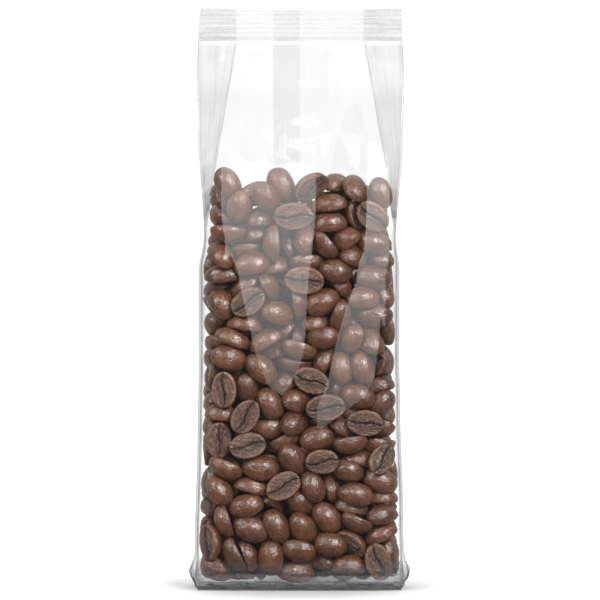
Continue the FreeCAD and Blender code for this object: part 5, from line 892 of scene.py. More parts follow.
def tube_points(rows):
    n_ply = len(V_PLY)
    cols = []
    haze_shade = []
    z = rows
    xl, xr = x_left(z), x_right(z)
    k = smooth(169.0, SEAL_BOTTOM, z)
    ci = corner_in(z) * (1 - smooth(172.0, SEAL_BOTTOM, z))
    t = soft(TUCK, z)
    dd = edge_depth(z)
    edge_y = dd * (1 - k) + 0.30 * k
    inset_y = (0.10) * k
    flare = table(EAR, z)
    foot = foot_fade(z)

    def roll(x, y, z):
        """returns the point unchanged"""
        return x, y, z

    def gusset(side, half, v):
        out = xl if side < 0 else xr
        y = (edge_y - 0.04) * (1 - v) + inset_y * v * 1.0
        straight = ci + (t - ci) * v
        bow = 0.55 * ci * 4.0 * v * (1 - v) * 0.35
        x = out - side * (straight - bow)
        yy = half * y
        bulge = flare * (1 - (abs(v - 1.0)) ** 6 * 1.0)
        # crumpled foot, and soft waves in the headspace
        w = foot * (0.30 * ridge(CRUMPLE_A(yy * 1.3 + 60 * side, z)) + 0.22 * ridge(CRUMPLE_B(yy + 20 * side, z)) - 0.2) * min(1.0, 5 * v + 0.15)
        head = smooth(112.0, 140.0, z) * (1 - smooth(168.0, 175.8, z))
        w = w + head * math.sin(math.pi * v) * (0.16 * GUS_RIP(v * 9 + 40 * side + 9 * half, z))
        w = w - 0.10 * math.sin(math.pi * v) * (1 - head) * (1 + GUS_RIP(v * 9 + 17 * side, z)) * (1 - foot)
        x = x + side * (bulge + w)
        return np.stack([x, yy, z], -1)

    for u in U_FRONT:
        x = panel_x(u, z)
        fade = 1 - abs(u) ** 14
        y = -(face_y(u, z) + fade * front_out(x, z))
        x = x + np.sign(u) * flare * (np.abs(u) ** 26) * 0.30
        cols.append(np.stack([x, y, z], -1))
        # painted shade on the front sheet: the crumpled foot is greyed, grey lines follow the folds from the base ears,
        # and the side edges are greyed, more so lower down
        haze_shade_vals = np.maximum(foot * (0.42 + 0.20 * CRUMPLE_A(x, z)), 0) + fade * head_painted_shade(x, z)
        for p, q, a in EAR_LINES:
            haze_shade_vals = haze_shade_vals + crease(x, z, p, q, 0.35, 0.30)
        haze_shade_vals = haze_shade_vals + 0.90 * np.abs(u) ** 36 * (1 - smooth(100.0, 130.0, z)) + 0.20 * np.abs(u) ** 60
        haze_shade.append(haze_shade_vals)
    def ply_haze_and_shade(side, half, v):
        # painted shade on the gusset plies: a faint grey haze with streaks up high, grey lines along the inner fold and
        # just inside the outer edge, a darker line down the outer edge lower down, and the greyed crumpled foot
        upper = smooth(104.0, 122.0, z) * (1 - smooth(174.0, 175.6, z))
        w = 0.03 + upper * 0.030 * (1 + 1.3 * STREAK(v * 12.25 + 30 * side + 11 * half, z))
        w = w + upper * 0.22 * math.exp(-((1 - v) * 12.25 / 0.28) ** 2) + 0.06 * upper * math.exp(-((v * 12.25 - 0.8) / 0.5) ** 2)
        w = w + 0.45 * math.exp(-(v * 12.25 / 0.7) ** 2) * (1 - smooth(100.0, 130.0, z))
        return foot * 0.40 + np.maximum(w, 0.0)

    for v in V_PLY[1:-1]:
        cols.append(gusset(1, -1, v))
        haze_shade.append(ply_haze_and_shade(1, -1, v))
    cols.append(gusset(1, -1, 1.0))
    haze_shade.append(ply_haze_and_shade(1, -1, 1.0))
    for v in V_PLY[::-1][1:-1]:
        cols.append(gusset(1, 1, v))
        haze_shade.append(ply_haze_and_shade(1, 1, v))
    for u in U_BACK:
        x = panel_x(u, z)
        fade = 1 - abs(u) ** 14
        y = face_y(u, z) + fade * back_out(x, z)
        cols.append(np.stack([x, y, z], -1))
        # the back sheet: painted shade greys its crumpled foot; a faint haze follows its ripples, with a faint grey
        # band near the top
        haze_shade.append(foot * 0.5 + 0.01 * (1 + RIP_BACK(x, z)) + 0.03 * smooth(150.0, 163.0, z) * (1 - smooth(173.5, 175.5, z)))
    for v in V_PLY[1:-1]:
        cols.append(gusset(-1, 1, v))
        haze_shade.append(ply_haze_and_shade(-1, 1, v))
    cols.append(gusset(-1, 1, 1.0))
    haze_shade.append(ply_haze_and_shade(-1, 1, 1.0))
    for v in V_PLY[::-1][1:-1]:
        cols.append(gusset(-1, -1, v))
        haze_shade.append(ply_haze_and_shade(-1, -1, v))
    return np.stack(cols, 1), np.stack(haze_shade, 1)


tube, haze_shade = tube_points(ROWS)
# the lowest rows roll in under the bag to meet the base
lip_rows, lip_work = [], []
ring = tube[0].copy()
centre = np.array([ring[:, 0].mean(), 0.0, 0.0])
inward = centre - ring
inward[:, 2] = 0
inward /= np.linalg.norm(inward, axis=1)[:, None]
for a in np.linspace(math.pi / 2, 0, 7)[:-1]:
    r = ring + inward * 1.3 * (1 - math.cos(math.pi / 2 - a))
    r[:, 2] = PANEL_BOTTOM - 1.45 * math.sin(math.pi / 2 - a)
    lip_rows.append(r)
lip_rows.append(ring + inward * 1.4 + np.array([0, 0, 0.12 - PANEL_BOTTOM]))
lip = np.stack(lip_rows[::-1][:-1], 0)
tube = np.concatenate([lip, tube], 0)
haze_shade = np.concatenate([np.repeat(haze_shade[:1], len(lip), 0), haze_shade], 0)
seg = np.linalg.norm(np.diff(np.concatenate([tube[60], tube[60][:1]]), axis=0), axis=1)
cu = np.concatenate([[0], np.cumsum(seg)])
cu = 0.004 + 0.992 * cu / cu[-1]
rv = np.concatenate([[0], np.cumsum(np.linalg.norm(np.diff(tube[:, 40], axis=0), axis=1))])
rv = 0.004 + 0.992 * rv / rv[-1]
# the bottom edge is not quite straight: the roll under the bag rises and falls, and painted shade greys it in patches
foot_wave = waves(25, 6, 11.0, 34.0, 1.0)
foot_fine = waves(26, 7, 3.0, 9.0, 1.0)
tx, ty, tz = tube[..., 0], tube[..., 1], tube[..., 2].copy()
sway = 0.55 * foot_wave(tx, ty * 0.7) + 0.22 * foot_fine(tx, ty)
tube[..., 2] = tz + np.where(tz < PANEL_BOTTOM, np.clip(tz / PANEL_BOTTOM, 0, 1), np.exp(-((tz - PANEL_BOTTOM) / 1.7) ** 2)) * np.maximum(sway, -1.0)
low = 1 - smooth(1.2, 2.2, tz)
painted_shade_patch = smooth(-9.6, -8.4, tx) * (1 - 0.5 * smooth(12.0, 19.0, tx)) + 0.8 * smooth(20.0, 22.0, tx)
haze_shade = haze_shade * (1 - low) + low * np.clip(0.30 + 0.22 * painted_shade_patch + 0.20 * foot_fine(tx * 0.8, tz * 4), 0.05, 1.0)
soft_map = 0.12 * smooth(118.0, 140.0, tz) + 0.88 * smooth(155.0, 165.0, tz) + 0.95 * (1 - smooth(5.5, 10.0, tz))
soft_map = soft_map * np.where(ty < 0.2, 1.0, 0.35 + 0.65 * (np.abs(tx) > 9.0))
film = grid_mesh("film_tube", tube, (cu, rv), MAT_FILM, closed=True, attrs={"haze_shade": haze_shade, "soft": soft_map})
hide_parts("front_panel", "back_panel_left", "back_panel_right", "left_gusset_front_ply", "left_gusset_back_ply",
            "right_gusset_front_ply", "right_gusset_back_ply", "left_base_fold", "right_base_fold")
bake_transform(film)

# ------------------------------------------------------------------ the folded back seam
FZ = np.concatenate([np.linspace(PANEL_BOTTOM + 0.6, 104.0, 60)[:-1], np.linspace(104.0, SEAL_BOTTOM, 80)])
FX = np.concatenate([np.linspace(-FIN_W, -7.6, 5)[:-1], np.linspace(-7.6, -0.9, 16)[:-1], np.linspace(-0.9, -0.02, 5)])
fin_rip = waves(31, 7, 4.0, 16.0, 2.0)
fin_pts, fin_work = [], []
for z in FZ:
    left, right = panel_x(-1, z), panel_x(1, z)
    u = (FX - 0.5 * (left + right)) / (0.5 * (right - left))
    x = FX + 0.12 * fin_rip(FX * 0, z) * (FX < -5)
    lift = 0.10 + 0.34 * np.exp(-((FX + FIN_W) / 1.3) ** 2) * (0.7 + 0.3 * fin_rip(FX * 0 + 5, z)) * (1 - smooth(168, 175, z))
    y = face_y(u, np.full_like(FX, z)) + back_out(FX, np.full_like(FX, z)) + lift * (1 - np.exp((FX) / 0.5))
    y = y + 0.05 * np.sin(2 * math.pi * FX / 1.6) * (1 - np.exp(FX / 0.8))
    fin_pts.append(np.stack([x, y, np.full_like(FX, z)], -1))
    fin_work.append(0.05 + 0.03 * fin_rip(FX, z))
fin_pts = np.array(fin_pts)
fin = grid_mesh("back_fin_strip", fin_pts, (0.01 + 0.98 * (FX - FX[0]) / (FX[-1] - FX[0]), 0.01 + 0.98 * (FZ - FZ[0]) / (FZ[-1] - FZ[0])), MAT_FILM, attrs={"haze_shade": np.array(fin_work)})
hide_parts("back_fin_seal")
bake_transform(fin)


# ------------------------------------------------------------------ the crimped top band, ply by ply
BAND_ROWS = 88
BAND_TOP = BAG_HEIGHT
side_rip = waves(41, 7, 7.0, 20.0, 0.30)
mid_rip = waves(42, 7, 12.0, 40.0, 0.5)


def band_ply(name, y_mid, x0, x1, ncol, node_name, side_gain, seed, mat=None):
    xs = np.linspace(0, 1, ncol)
    f = np.linspace(0, 1, BAND_ROWS)
    pts, haze_shade_vals = [], []
    for k in f:
        top_z = BAG_HEIGHT
        z0 = SEAL_BOTTOM + (top_z - SEAL_BOTTOM) * k
        left = max(x0, float(table(OUTLINE, z0, 1))) if x0 < -30 else x0
        right = min(x1, float(table(OUTLINE, z0, 2))) if x1 > 30 else x1
        x = left + (right - left) * xs
        hollow = 0.75 * (1 - np.minimum(1.0, (x / 33.0) ** 2)) + 0.10 * mid_rip(x, x * 0)
        z = SEAL_BOTTOM + (top_z - hollow - SEAL_BOTTOM) * k
        zone = smooth(-19.0, -21.0, x) + smooth(19.5, 21.5, x)
        phase = 0.45 * mid_rip(x, x * 0) + zone * (1.1 * side_rip(x, z * 0.6) + 0.25 * side_rip(x + seed, z * 0))
        amp = SEAL_RIB_AMP * (0.36 + 0.08 * mid_rip(x + 9, x * 0)) * (1 + 0.3 * zone)
        arg = 2 * math.pi * (z - SEAL_BOTTOM) / SEAL_RIB_PITCH + phase
        y = y_mid + amp * np.sin(arg) * (0.25 + 0.75 * smooth(SEAL_BOTTOM, SEAL_BOTTOM + 0.7, z))
        y = y + 0.03 * zone * side_rip(x * 1.2, z * 1.1)
        pts.append(np.stack([x, y, z], -1))
        # grey painted into the crimp: partly the crimp's own haze, partly painted shade in the rib troughs, with lines
        # of painted shade along the seal's top, bottom and outer edges, and greyer patchy side zones
        rib_haze_shade = (0.5 + 0.5 * np.cos(arg + 0.6)) ** 2 * np.clip(0.75 + 0.30 * mid_rip(x * 0.9 + 4, z * 2), 0.2, 1.2)
        seal_edge_shade = np.exp(-((z - SEAL_BOTTOM - 0.5) / 0.55) ** 2) * 0.45 + 0.55 * np.exp(-((BAND_TOP - hollow - z) / 0.30) ** 2)
        seal_edge_shade = seal_edge_shade + 0.5 * np.exp(-((xs - 0.0) * (right - left) / 0.30) ** 2) * (left < -30) + 0.5 * np.exp(-((1.0 - xs) * (right - left) / 0.30) ** 2) * (right > 30)
        haze_shade_vals.append(np.clip(0.12 + 0.62 * rib_haze_shade + seal_edge_shade + zone * (0.16 + 0.20 * rib_haze_shade + 0.26 * np.clip(side_rip(x * 1.0, z * 1.2), -1, 1)), 0, 1))
    ob = grid_mesh(name, np.array(pts), (0.004 + 0.992 * xs, 0.01 + 0.98 * f), mat or MAT_CRIMP, attrs={"haze_shade": np.array(haze_shade_vals)}, body="top_seal")
    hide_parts(node_name)
    return ob


P = FILM_T + 0.04
band_ply("crimp_front", -1.5 * P, -34, 34, 240, "top_seal_front_ply", 1.0, 0.0)
band_ply("crimp_back", 1.5 * P, -34, 34, 160, "top_seal_back_ply", 0.6, 30.0)
band_ply("crimp_left_gusset", 0.0, -34, -32.7 + GUSSET_W, 60, "top_seal_left_gusset", 1.0, 5.0)
band_ply("crimp_right_gusset", 0.0, 32.7 - GUSSET_W, 34, 60, "top_seal_right_gusset", 1.0, 8.0)
band_ply("crimp_fin", 2.0 * P + 0.1, -FIN_W, -0.1, 40, "top_seal_fin_ply", 0.3, 3.0)

# ------------------------------------------------------------------ base: front and back flaps, and the crimped bottom seam
base_rip = waves(51, 9, 5.0, 16.0, 1.0)
base_fine = waves(52, 9, 2.0, 5.0, 1.0)
w_base = 0.5 * float(x_right(2.0) - x_left(2.0)) - 0.6
mid_base = 0.5 * float(x_right(2.0) + x_left(2.0))


def base_flap(name, sign, z_flat, lift, node_name):
    us = np.linspace(-1, 1, 110)
    vs = np.concatenate([np.linspace(0, 1, 34)])
    pts, haze_shade_vals = [], []
    for v in vs:
        y_out = face_y(us * 0.985, np.full_like(us, 2.0)) - 1.0
        y_in = 0.05
        y = y_out + (y_in - y_out) * v
        x = mid_base + w_base * us * (1 - 0.02 * (1 - v))
        z = z_flat + lift * np.clip(0.5 + 0.5 * base_rip(x, y * sign) + 0.25 * base_fine(x, y * sign), 0, 1.4) * (0.3 + 0.7 * np.sin(math.pi * min(1.0, 0.1 + 0.9 * v)))
        z = z + 0.55 * (1 - smooth(0.0, 0.12, np.full_like(us, v)))
        pts.append(np.stack([x, sign * y, z], -1))
        haze_shade_vals.append(0.55 + 0.2 * base_rip(x, y))
    ob = grid_mesh(name, np.array(pts), (np.linspace(0.01, 0.99, 110), 0.01 + 0.98 * vs), MAT_BASE, attrs={"haze_shade": np.array(haze_shade_vals)}, body="bag")
    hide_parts(node_name)
    return ob


base_flap("base_back_film", 1, 0.10, 0.8, "base_back_flap")
base_flap("base_front_film", -1, BASE_SEAL_T + 0.16, 0.9, "base_front_flap")

bs_n = 130
bs_x = np.linspace(-1, 1, bs_n)
bs_y = np.linspace(-0.30 - BASE_SEAL_W, -0.30, 70)
pts, haze_shade_vals = [], []
for y in bs_y:
    x = mid_base + (w_base - 0.6) * bs_x
    z = BASE_SEAL_T - 0.22 + 0.10 * np.sin(2 * math.pi * y / SEAL_RIB_PITCH + 0.5 * mid_rip(x, y)) + 0.05 * base_fine(x, y)
    pts.append(np.stack([x, np.full(bs_n, y) + 0.15 * mid_rip(x, x * 0), np.maximum(z, 0.04)], -1))
    haze_shade_vals.append(0.5 + 0.2 * base_rip(x, np.full(bs_n, y)))
ob = grid_mesh("crimp_bottom", np.array(pts), (0.5 + 0.49 * bs_x, np.linspace(0.01, 0.99, 70)), MAT_BASE, attrs={"haze_shade": np.array(haze_shade_vals)}, body="bag")
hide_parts("bottom_seal")

# ------------------------------------------------------------------ roasted beans
NT, NL = 54, 36
_t = np.linspace(0, 1, NT, endpoint=False)


def ring_angles():
    """angles round the bean, 0 at +Y, rising over the dome at +Z; packed closely beside the crease at -Z"""
    a = np.linspace(0, 2 * math.pi, 2001)
    d = np.abs(a - 1.5 * math.pi)
    dens = 1.0 + 3.6 * np.exp(-(d / 0.20) ** 2) + 1.2 * np.exp(-(d / 0.5) ** 2)
    c = np.concatenate([[0], np.cumsum(0.5 * (dens[1:] + dens[:-1]))])
    return np.interp(np.linspace(0, c[-1], NT, endpoint=False), c, a)


TH = ring_angles()
PH = np.linspace(0, math.pi, NL + 1)[1:-1]


def bean_points(k, size):
    """one roasted bean about its own centre, mm; returns points, groove, flat, seam distance and the rim mask for the
    painted highlight
    """
    r = np.random.default_rng(1000 + k)
    s = SIZES[size]
    a, b, h, low = BEAN_A * s, BEAN_B * (0.6 * s + 0.4), BEAN_H * (0.5 + 0.5 * s), BEAN_L
    ph, th = np.meshgrid(PH, TH, indexing="ij")
    # a touch egg-shaped, and blunter than an ellipse
    cx = np.cos(ph)
    sx = np.sin(ph) ** 0.92
    egg = r.uniform(-0.06, 0.06)
    x = a * cx
    y = b * sx * np.cos(th) * (1 + egg * cx)
    up = np.sin(th) > 0
    dome = h * sx * np.maximum(np.sin(th), 0) * (1 - 0.4 * egg * cx)
    back = -low * np.sin(ph) ** 0.55 * np.maximum(-np.sin(th), 0) ** 0.55
    z = np.where(up, dome, back)
    # crease: a shallow S along the flat side
    sgn = -1.0
    bend = r.uniform(0.55, 1.0)
    tilt = r.uniform(-0.10, 0.10)
    yc = sgn * bend * 0.75 * np.sin(math.pi * np.clip(cx, -0.98, 0.98)) * np.sin(ph) ** 0.3 + tilt * x
    near = np.exp(-((th - 1.5 * math.pi) / 0.75) ** 2)
    y = y + yc * near * (~up)
    jag = 0.12 * np.sin(cx * 13 + k) + 0.09 * np.sin(cx * 23 + 2.1 * k) + 0.03 * np.sin(cx * 37 + 0.7 * k)
    d = np.abs(y - yc - jag * (~up) * np.sin(ph))
    taper = np.clip(np.sin(ph), 0, 1) ** 0.8
    under = (~up) * np.clip(-np.sin(th) * 3, 0, 1)
    wdt = 0.17 + 0.07 * (1 - np.abs(cx)) + 0.05 * np.sin(cx * 9 + k)
    cut = np.exp(-(d / wdt) ** 2) * under
    lipz = np.exp(-((d - 0.85) / 0.42) ** 2) * under
    rho = np.sqrt((x / a) ** 2 + (y / b) ** 2)
    seam = np.where(up, 9.0, y - yc - jag * np.sin(ph))
    # mask of the rim round the flat side, where a highlight is painted
    painted_rim_highlight = under * np.exp(-((rho - 0.90) / 0.055) ** 2)
    z = z + under * 0.30 * (1 - smooth(0.68, 0.90, rho))
    z = z + (0.85 + 0.15 * r.uniform(-1, 1)) * taper * cut - 0.20 * taper * lipz
    # wrinkles that follow the crease on the flat side, and soft lumps everywhere
    f1 = r.uniform(0, 6.28)
    z = z + under * taper * 0.085 * np.sin(d * 2 * math.pi / 0.95 + f1 + 1.3 * np.sin(cx * 4 + f1)) * np.clip(d - 0.5, 0, 1)
    n = np.zeros_like(x)
    for _ in range(7):
        w = r.normal(size=3)
        w /= np.linalg.norm(w)
        fr = r.uniform(0.5, 2.0)
        n += np.sin((x * w[0] * 0.55 + y * w[1] + z * w[2]) * fr + r.uniform(0, 6.28)) / 7
    pts = np.stack([x, y, z], -1)
    rad = np.linalg.norm(pts, axis=-1, keepdims=True)
    nrm = np.stack([x / a ** 2, y / b ** 2, z / np.where(up, h, low * 1.6) ** 2], -1)
    nrm /= np.linalg.norm(nrm, axis=-1, keepdims=True)
    for _ in range(1):
        pts = pts + nrm * (0.23 * n[..., None] - 0.06)
    # ridges that run lengthwise over the shoulders
    q = np.sin(np.arctan2(z, y) * r.uniform(7, 11) + 2.2 * np.sin(cx * 2 + f1) + f1)
    pts = pts + nrm * (0.022 * q * np.sin(ph) ** 2 * (r.uniform(0.3, 1.4)))[..., None]
    ends = np.array([[a * 0.985, 0, -0.15], [-a * 0.985, 0, -0.15]])
    pts = pts.reshape(-1, 3)
    allp = np.concatenate([pts, ends])
    groove = np.concatenate([(cut * np.clip(taper * 1.4, 0, 1)).ravel(), [0.2, 0.2]])
    flat = np.concatenate([(under * (1 - smooth(0.93, 1.02, rho))).ravel(), [0.0, 0.0]])
    return allp, groove, flat, np.concatenate([seam.ravel(), [3.0, 3.0]]), np.concatenate([painted_rim_highlight.ravel(), [0.0, 0.0]])


def bean_faces():
    n = NL - 1
    quads = []
    for i in range(n - 1):
        for j in range(NT):
            k = (j + 1) % NT
            quads.append((i * NT + j, (i + 1) * NT + j, (i + 1) * NT + k, i * NT + k))
    tris = []
    top, bot = n * NT, n * NT + 1
    for j in range(NT):
        k = (j + 1) % NT
        tris.append((top, j, k))
        tris.append((bot, (n - 1) * NT + k, (n - 1) * NT + j))
    return np.array(quads), np.array(tris)


QUADS, TRIS = bean_faces()


def bean_uv():
    n = NL - 1
    uq, ut = [], []
    for i in range(n - 1):
        v0, v1 = (i + 1) / NL, (i + 2) / NL
        for j in range(NT):
            u0, u1 = j / NT, (j + 1) / NT
            uq.append(((u0, v0), (u0, v1), (u1, v1), (u1, v0)))
    for j in range(NT):
        u0, u1 = j / NT, (j + 1) / NT
        ut.append((((u0 + u1) / 2, 0.0), (u0, 1 / NL), (u1, 1 / NL)))
        ut.append((((u0 + u1) / 2, 1.0), (u1, n / NL), (u0, n / NL)))
    return np.array(uq), np.array(ut)


UVQ, UVT = bean_uv()


def rotate(q, p):
    w, v = q[0], np.array(q[1:])
    t = 2 * np.cross(v, p)
    return p + w * t + np.cross(v, t)


layers = [[] for _ in range(LAYER_COUNT)]
for k, row in enumerate(BEANS):
    i = int((row[2] - 2.6) / (134.0 - 2.6) * LAYER_COUNT)
    layers[max(0, min(LAYER_COUNT - 1, i))].append((k, row))

for li, group in enumerate(layers):
    if not group:
        continue
    nb = len(group)
    side = int(math.ceil(math.sqrt(nb)))
    co, gr, fl, lc, tn, fq, ft, uq, ut, sm, rm = [], [], [], [], [], [], [], [], [], [], []
    off = 0
    for m, (k, row) in enumerate(group):
        p, g, f, s_d, s_r = bean_points(k, row[7])
        sm.append(s_d)
        rm.append(s_r)
        q = np.array(row[3:7])
        q = q / np.linalg.norm(q)
        world = rotate(q, p * 0.985) + np.array(row[:3])
        r = np.random.default_rng(5000 + k)
        co.append(world)
        gr.append(g)
        fl.append(f)
        lc.append(p + r.uniform(-60, 60, 3))
        tn.append(np.full(len(p), float(np.clip(r.normal(0.35, 0.28), 0, 1))))
        fq.append(QUADS + off)
        ft.append(TRIS + off)
        tile = np.array([m % side, m // side])
        uq.append((tile + 0.02 + 0.96 * UVQ) / side)
        ut.append((tile + 0.02 + 0.96 * UVT) / side)
        off += len(p)
    co = np.concatenate(co)
    fq, ft = np.concatenate(fq), np.concatenate(ft)
    me = bpy.data.meshes.new("roasted_beans_%02d" % (li + 1))
    me.vertices.add(len(co))
    me.vertices.foreach_set("co", (co * 0.001).astype(np.float32).ravel())
    loops = np.concatenate([fq.ravel(), ft.ravel()])
    me.loops.add(len(loops))
    me.loops.foreach_set("vertex_index", loops.astype(np.int32))
    npoly = len(fq) + len(ft)
    me.polygons.add(npoly)
    starts = np.concatenate([np.arange(len(fq)) * 4, len(fq) * 4 + np.arange(len(ft)) * 3])
    me.polygons.foreach_set("loop_start", starts.astype(np.int32))
    me.polygons.foreach_set("use_smooth", np.ones(npoly, bool))
    me.update(calc_edges=True)
    layer = me.uv_layers.new(name="OFBake")
    uv = np.concatenate([np.concatenate(uq).reshape(-1, 2), np.concatenate(ut).reshape(-1, 2)])
    layer.data.foreach_set("uv", uv.astype(np.float32).ravel())
    for nm, vals in (("groove", gr), ("flat", fl), ("tint", tn), ("seam", sm), ("painted_rim_highlight", rm)):
        a = me.attributes.new(nm, "FLOAT", "POINT")
        a.data.foreach_set("value", np.concatenate(vals).astype(np.float32))
    a = me.attributes.new("bean_co", "FLOAT_VECTOR", "POINT")
    a.data.foreach_set("vector", np.concatenate(lc).astype(np.float32).ravel())
    me.materials.append(MAT_BEAN)
    me.validate()
    ob = bpy.data.objects.new("roasted_beans_%02d" % (li + 1), me)
    bpy.context.scene.collection.objects.link(ob)
    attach(ob, "bag")
    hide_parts("bean_layer_%02d" % (li + 1))

# ------------------------------------------------------------------ camera
CAM_Y = -1.006
cam_data = bpy.data.cameras.new("camera")
cam_data.lens = 187.5
cam_data.sensor_width = 36.0
cam = bpy.data.objects.new("camera", cam_data)
bpy.context.scene.collection.objects.link(cam)
cam.location = (0.0, CAM_Y, 0.0925)
cam.rotation_euler = (math.pi / 2, 0, 0)
cam_data.clip_start, cam_data.clip_end = 0.01, 50
bpy.context.scene.camera = cam

# ------------------------------------------------------------------ floor, with a painted glow
m, nodes, links = shader("pale_floor_painted_glow")
nt = m.node_tree
out = node(nodes, "ShaderNodeOutputMaterial")
bs = node(nodes, "ShaderNodeBsdfPrincipled")
tc = node(nodes, "ShaderNodeTexCoord")
links.new(mixc(nt, noise(nt, tc.outputs["Object"], 6.0, 2.0), FLOOR_A, FLOOR_B), bs.inputs["Base Color"])
bs.inputs["Roughness"].default_value = 0.75
bs.inputs["Specular IOR Level"].default_value = 0.2
# painted light: the floor glows more the further it lies from the bag, so it reads white far off while a dimmer oval, a
# painted shadow, stays round the bag's foot
glow_reach = node(nodes, "ShaderNodeVectorMath", operation="LENGTH")
shadow_oval = node(nodes, "ShaderNodeMapping")
shadow_oval.inputs["Scale"].default_value = (1 / 0.041, 1 / 0.039, 0.0)
links.new(tc.outputs["Object"], shadow_oval.inputs["Vector"])
links.new(shadow_oval.outputs[0], glow_reach.inputs[0])
bs.inputs["Emission Color"].default_value = (1, 1, 1, 1)
links.new(maprange(nt, glow_reach.outputs["Value"], 0.40, 2.10, 0.0, FLOOR_GLOW, "SMOOTHSTEP"), bs.inputs["Emission Strength"])
links.new(bs.outputs[0], out.inputs[0])
me = bpy.data.meshes.new("floor")
fx0, fx1, fy0, fy1 = -4.0, 4.0, -1.30, 6.0
nx = 9
vx = [(fx0 + (fx1 - fx0) * i / (nx - 1), fy0 + (fy1 - fy0) * j / (nx - 1), 0.0) for j in range(nx) for i in range(nx)]
fs = [(j * nx + i, j * nx + i + 1, (j + 1) * nx + i + 1, (j + 1) * nx + i) for j in range(nx - 1) for i in range(nx - 1)]
me.from_pydata(vx, [], fs)
me.materials.append(m)
floor = bpy.data.objects.new("floor", me)
bpy.context.scene.collection.objects.link(floor)
floor.visible_glossy = False

# ------------------------------------------------------------------ studio light
world = bpy.data.worlds.new("studio")
bpy.context.scene.world = world
world.use_nodes = True
wt = world.node_tree
wt.nodes.clear()
wo = wt.nodes.new("ShaderNodeOutputWorld")
bg = wt.nodes.new("ShaderNodeBackground")
wtc = wt.nodes.new("ShaderNodeTexCoord")
sep = wt.nodes.new("ShaderNodeSeparateXYZ")
wt.links.new(wtc.outputs["Generated"], sep.inputs[0])
front_dark = maprange(wt, sep.outputs[1], -0.40, 0.45, GLOSS_FRONT, GLOSS_BACK, "SMOOTHSTEP")
above = maprange(wt, sep.outputs[2], 0.15, 0.9, 0.0, 0.55, "SMOOTHSTEP")
gloss_world = mathn(wt, "ADD", front_dark, above)
lp = wt.nodes.new("ShaderNodeLightPath")
diff = mathn(wt, "ADD", maprange(wt, sep.outputs[2], 0.0, 1.0, WORLD_LOW, WORLD_HIGH), maprange(wt, sep.outputs[1], 0.1, 0.8, 0.0, WORLD_REAR, "SMOOTHSTEP"))
mixg = wt.nodes.new("ShaderNodeMix")
mixg.data_type = "FLOAT"
wt.links.new(lp.outputs["Is Glossy Ray"], mixg.inputs[0])
wt.links.new(diff, mixg.inputs[2])
wt.links.new(gloss_world, mixg.inputs[3])
mixc2 = wt.nodes.new("ShaderNodeMix")
mixc2.data_type = "FLOAT"
wt.links.new(lp.outputs["Is Camera Ray"], mixc2.inputs[0])
wt.links.new(mixg.outputs[0], mixc2.inputs[2])
mixc2.inputs[3].default_value = WORLD_CAM
wt.links.new(mixc2.outputs[0], bg.inputs["Strength"])
bg.inputs["Color"].default_value = (1, 1, 1, 1)
wt.links.new(bg.outputs[0], wo.inputs[0])


def softbox(name, at, aim, size, watts, size_y=None):
    ld = bpy.data.lights.new(name, "AREA")
    ld.energy = watts
    ld.shape = "RECTANGLE"
    ld.size = size
    ld.size_y = size_y or size
    ob = bpy.data.objects.new(name, ld)
    bpy.context.scene.collection.objects.link(ob)
    ob.location = at
    ob.rotation_mode = "QUATERNION"
    ob.rotation_quaternion = (Vector(aim) - Vector(at)).to_track_quat("-Z", "Y")
    return ob


softbox("key_right", (0.50, -0.85, 0.64), (0.0, 0.0, 0.09), 0.24, KEY_W, 0.34)
softbox("fill_left", (-0.66, -0.66, 0.56), (0.0, 0.0, 0.09), 0.20, FILL_W, 0.30)
softbox("overhead", (0.0, 0.1, 1.5), (0.0, 0.0, 0.0), 1.6, TOP_W)

# ------------------------------------------------------------------ strip reflectors that show in the film
# Each strip is a row of points down the front face (x, z of its left and right edge, mm, as the
# camera sees them). The sheet that gives this reflection stands at y = -350 mm; its corners come
# from mirroring the camera's line of sight in the film.
CARD_Y = -350.0
STRIP_A = ((165, 221, 316), (205, 221, 316), (230, 223, 314.5), (245, 227, 312.5), (258, 232, 311), (272, 238, 309), (295, 242, 307.3),
           (320, 248, 306), (338, 252, 305.3), (355, 256, 303), (372, 262.5, 297.5), (385, 267, 290), (392, 275, 286), (396, 282, 284))
STRIP_B = ((166, 368, 389), (190, 367, 390), (230, 366, 390), (250, 364, 389.4), (260, 360, 389), (268, 358, 387.4), (275, 357.5, 386), (283, 356, 384.5), (297, 350, 382),
           (318, 343, 380.5), (340, 337, 379), (365, 331, 376), (380, 328, 374), (390, 324, 368), (400, 320, 360), (408, 317, 350), (418, 317, 336), (428, 317, 322))


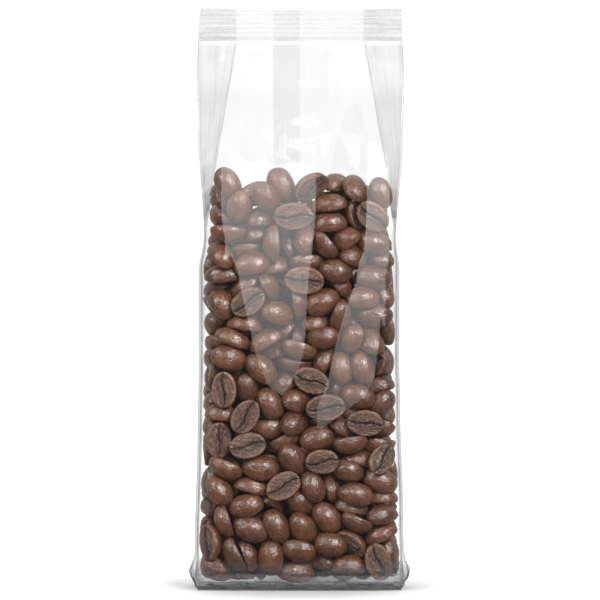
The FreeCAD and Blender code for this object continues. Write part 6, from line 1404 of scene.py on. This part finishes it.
def film_hit(px, py):
    """where the camera's line through that spot of the 600 by 600 view meets the front film, and its mirror direction"""
    eye = np.array([0.0, CAM_Y * 1000, 92.5])
    d = np.array([(px - 300) * 0.192 / 600, 1.0, (300 - py) * 0.192 / 600])
    x, z = d[0] * 990, 92.5 + d[2] * 990
    for _ in range(30):
        u = (x - panel_x(0.0, z)) / (0.5 * (panel_x(1.0, z) - panel_x(-1.0, z)))
        y = -float(face_y(np.clip(u, -0.999, 0.999), z))
        t = y - eye[1]
        x, z = eye[0] + d[0] * t, eye[2] + d[2] * t

    def surf(x, z):
        u = (x - panel_x(0.0, z)) / (0.5 * (panel_x(1.0, z) - panel_x(-1.0, z)))
        return -float(face_y(np.clip(u, -0.999, 0.999), z))
    e = 0.4
    gx = (surf(x + e, z) - surf(x - e, z)) / (2 * e)
    gz = (surf(x, z + e) - surf(x, z - e)) / (2 * e)
    n = np.array([gx, -1.0, gz])
    n /= np.linalg.norm(n)
    dn = d / np.linalg.norm(d)
    r = dn - 2 * np.dot(dn, n) * n
    p = np.array([x, y, z])
    return p + r * ((CARD_Y - p[1]) / r[1])


def strip_card(name, rows, strength):
    """an emissive strip seen only in reflections, brighter towards its top"""
    ys = np.linspace(rows[0][0], rows[-1][0], 60)
    ls = np.interp(ys, [r[0] for r in rows], [r[1] for r in rows])
    rs = np.interp(ys, [r[0] for r in rows], [r[2] for r in rows])
    cols = 14
    verts, faces = [], []
    for y, a, b in zip(ys, ls, rs):
        for k in range(cols):
            px = a + (b - a) * k / (cols - 1.0)
            verts.append(tuple(film_hit(px, y) * 0.001))
    for i in range(len(ys) - 1):
        for k in range(cols - 1):
            faces.append((i * cols + k, i * cols + k + 1, (i + 1) * cols + k + 1, (i + 1) * cols + k))
    me = bpy.data.meshes.new(name)
    me.from_pydata(verts, [], faces)
    m, nodes, links = shader(name)
    o = node(nodes, "ShaderNodeOutputMaterial")
    e = node(nodes, "ShaderNodeEmission")
    e.inputs["Color"].default_value = (1.0, 0.985, 0.97, 1)
    tcs = node(nodes, "ShaderNodeTexCoord")
    sp = node(nodes, "ShaderNodeSeparateXYZ")
    links.new(tcs.outputs["Object"], sp.inputs[0])
    links.new(maprange(m.node_tree, sp.outputs[2], strength[0], strength[1], strength[2], strength[3]), e.inputs["Strength"])
    links.new(e.outputs[0], o.inputs[0])
    me.materials.append(m)
    ob = bpy.data.objects.new(name, me)
    bpy.context.scene.collection.objects.link(ob)
    ob.visible_camera = ob.visible_diffuse = ob.visible_shadow = ob.visible_transmission = ob.visible_volume_scatter = False
    return ob


strip_card("reflector_left", STRIP_A, CARD_A)
strip_card("reflector_right", STRIP_B, CARD_B)

sc = bpy.context.scene
sc.view_settings.view_transform = "Standard"
sc.view_settings.look = "None"
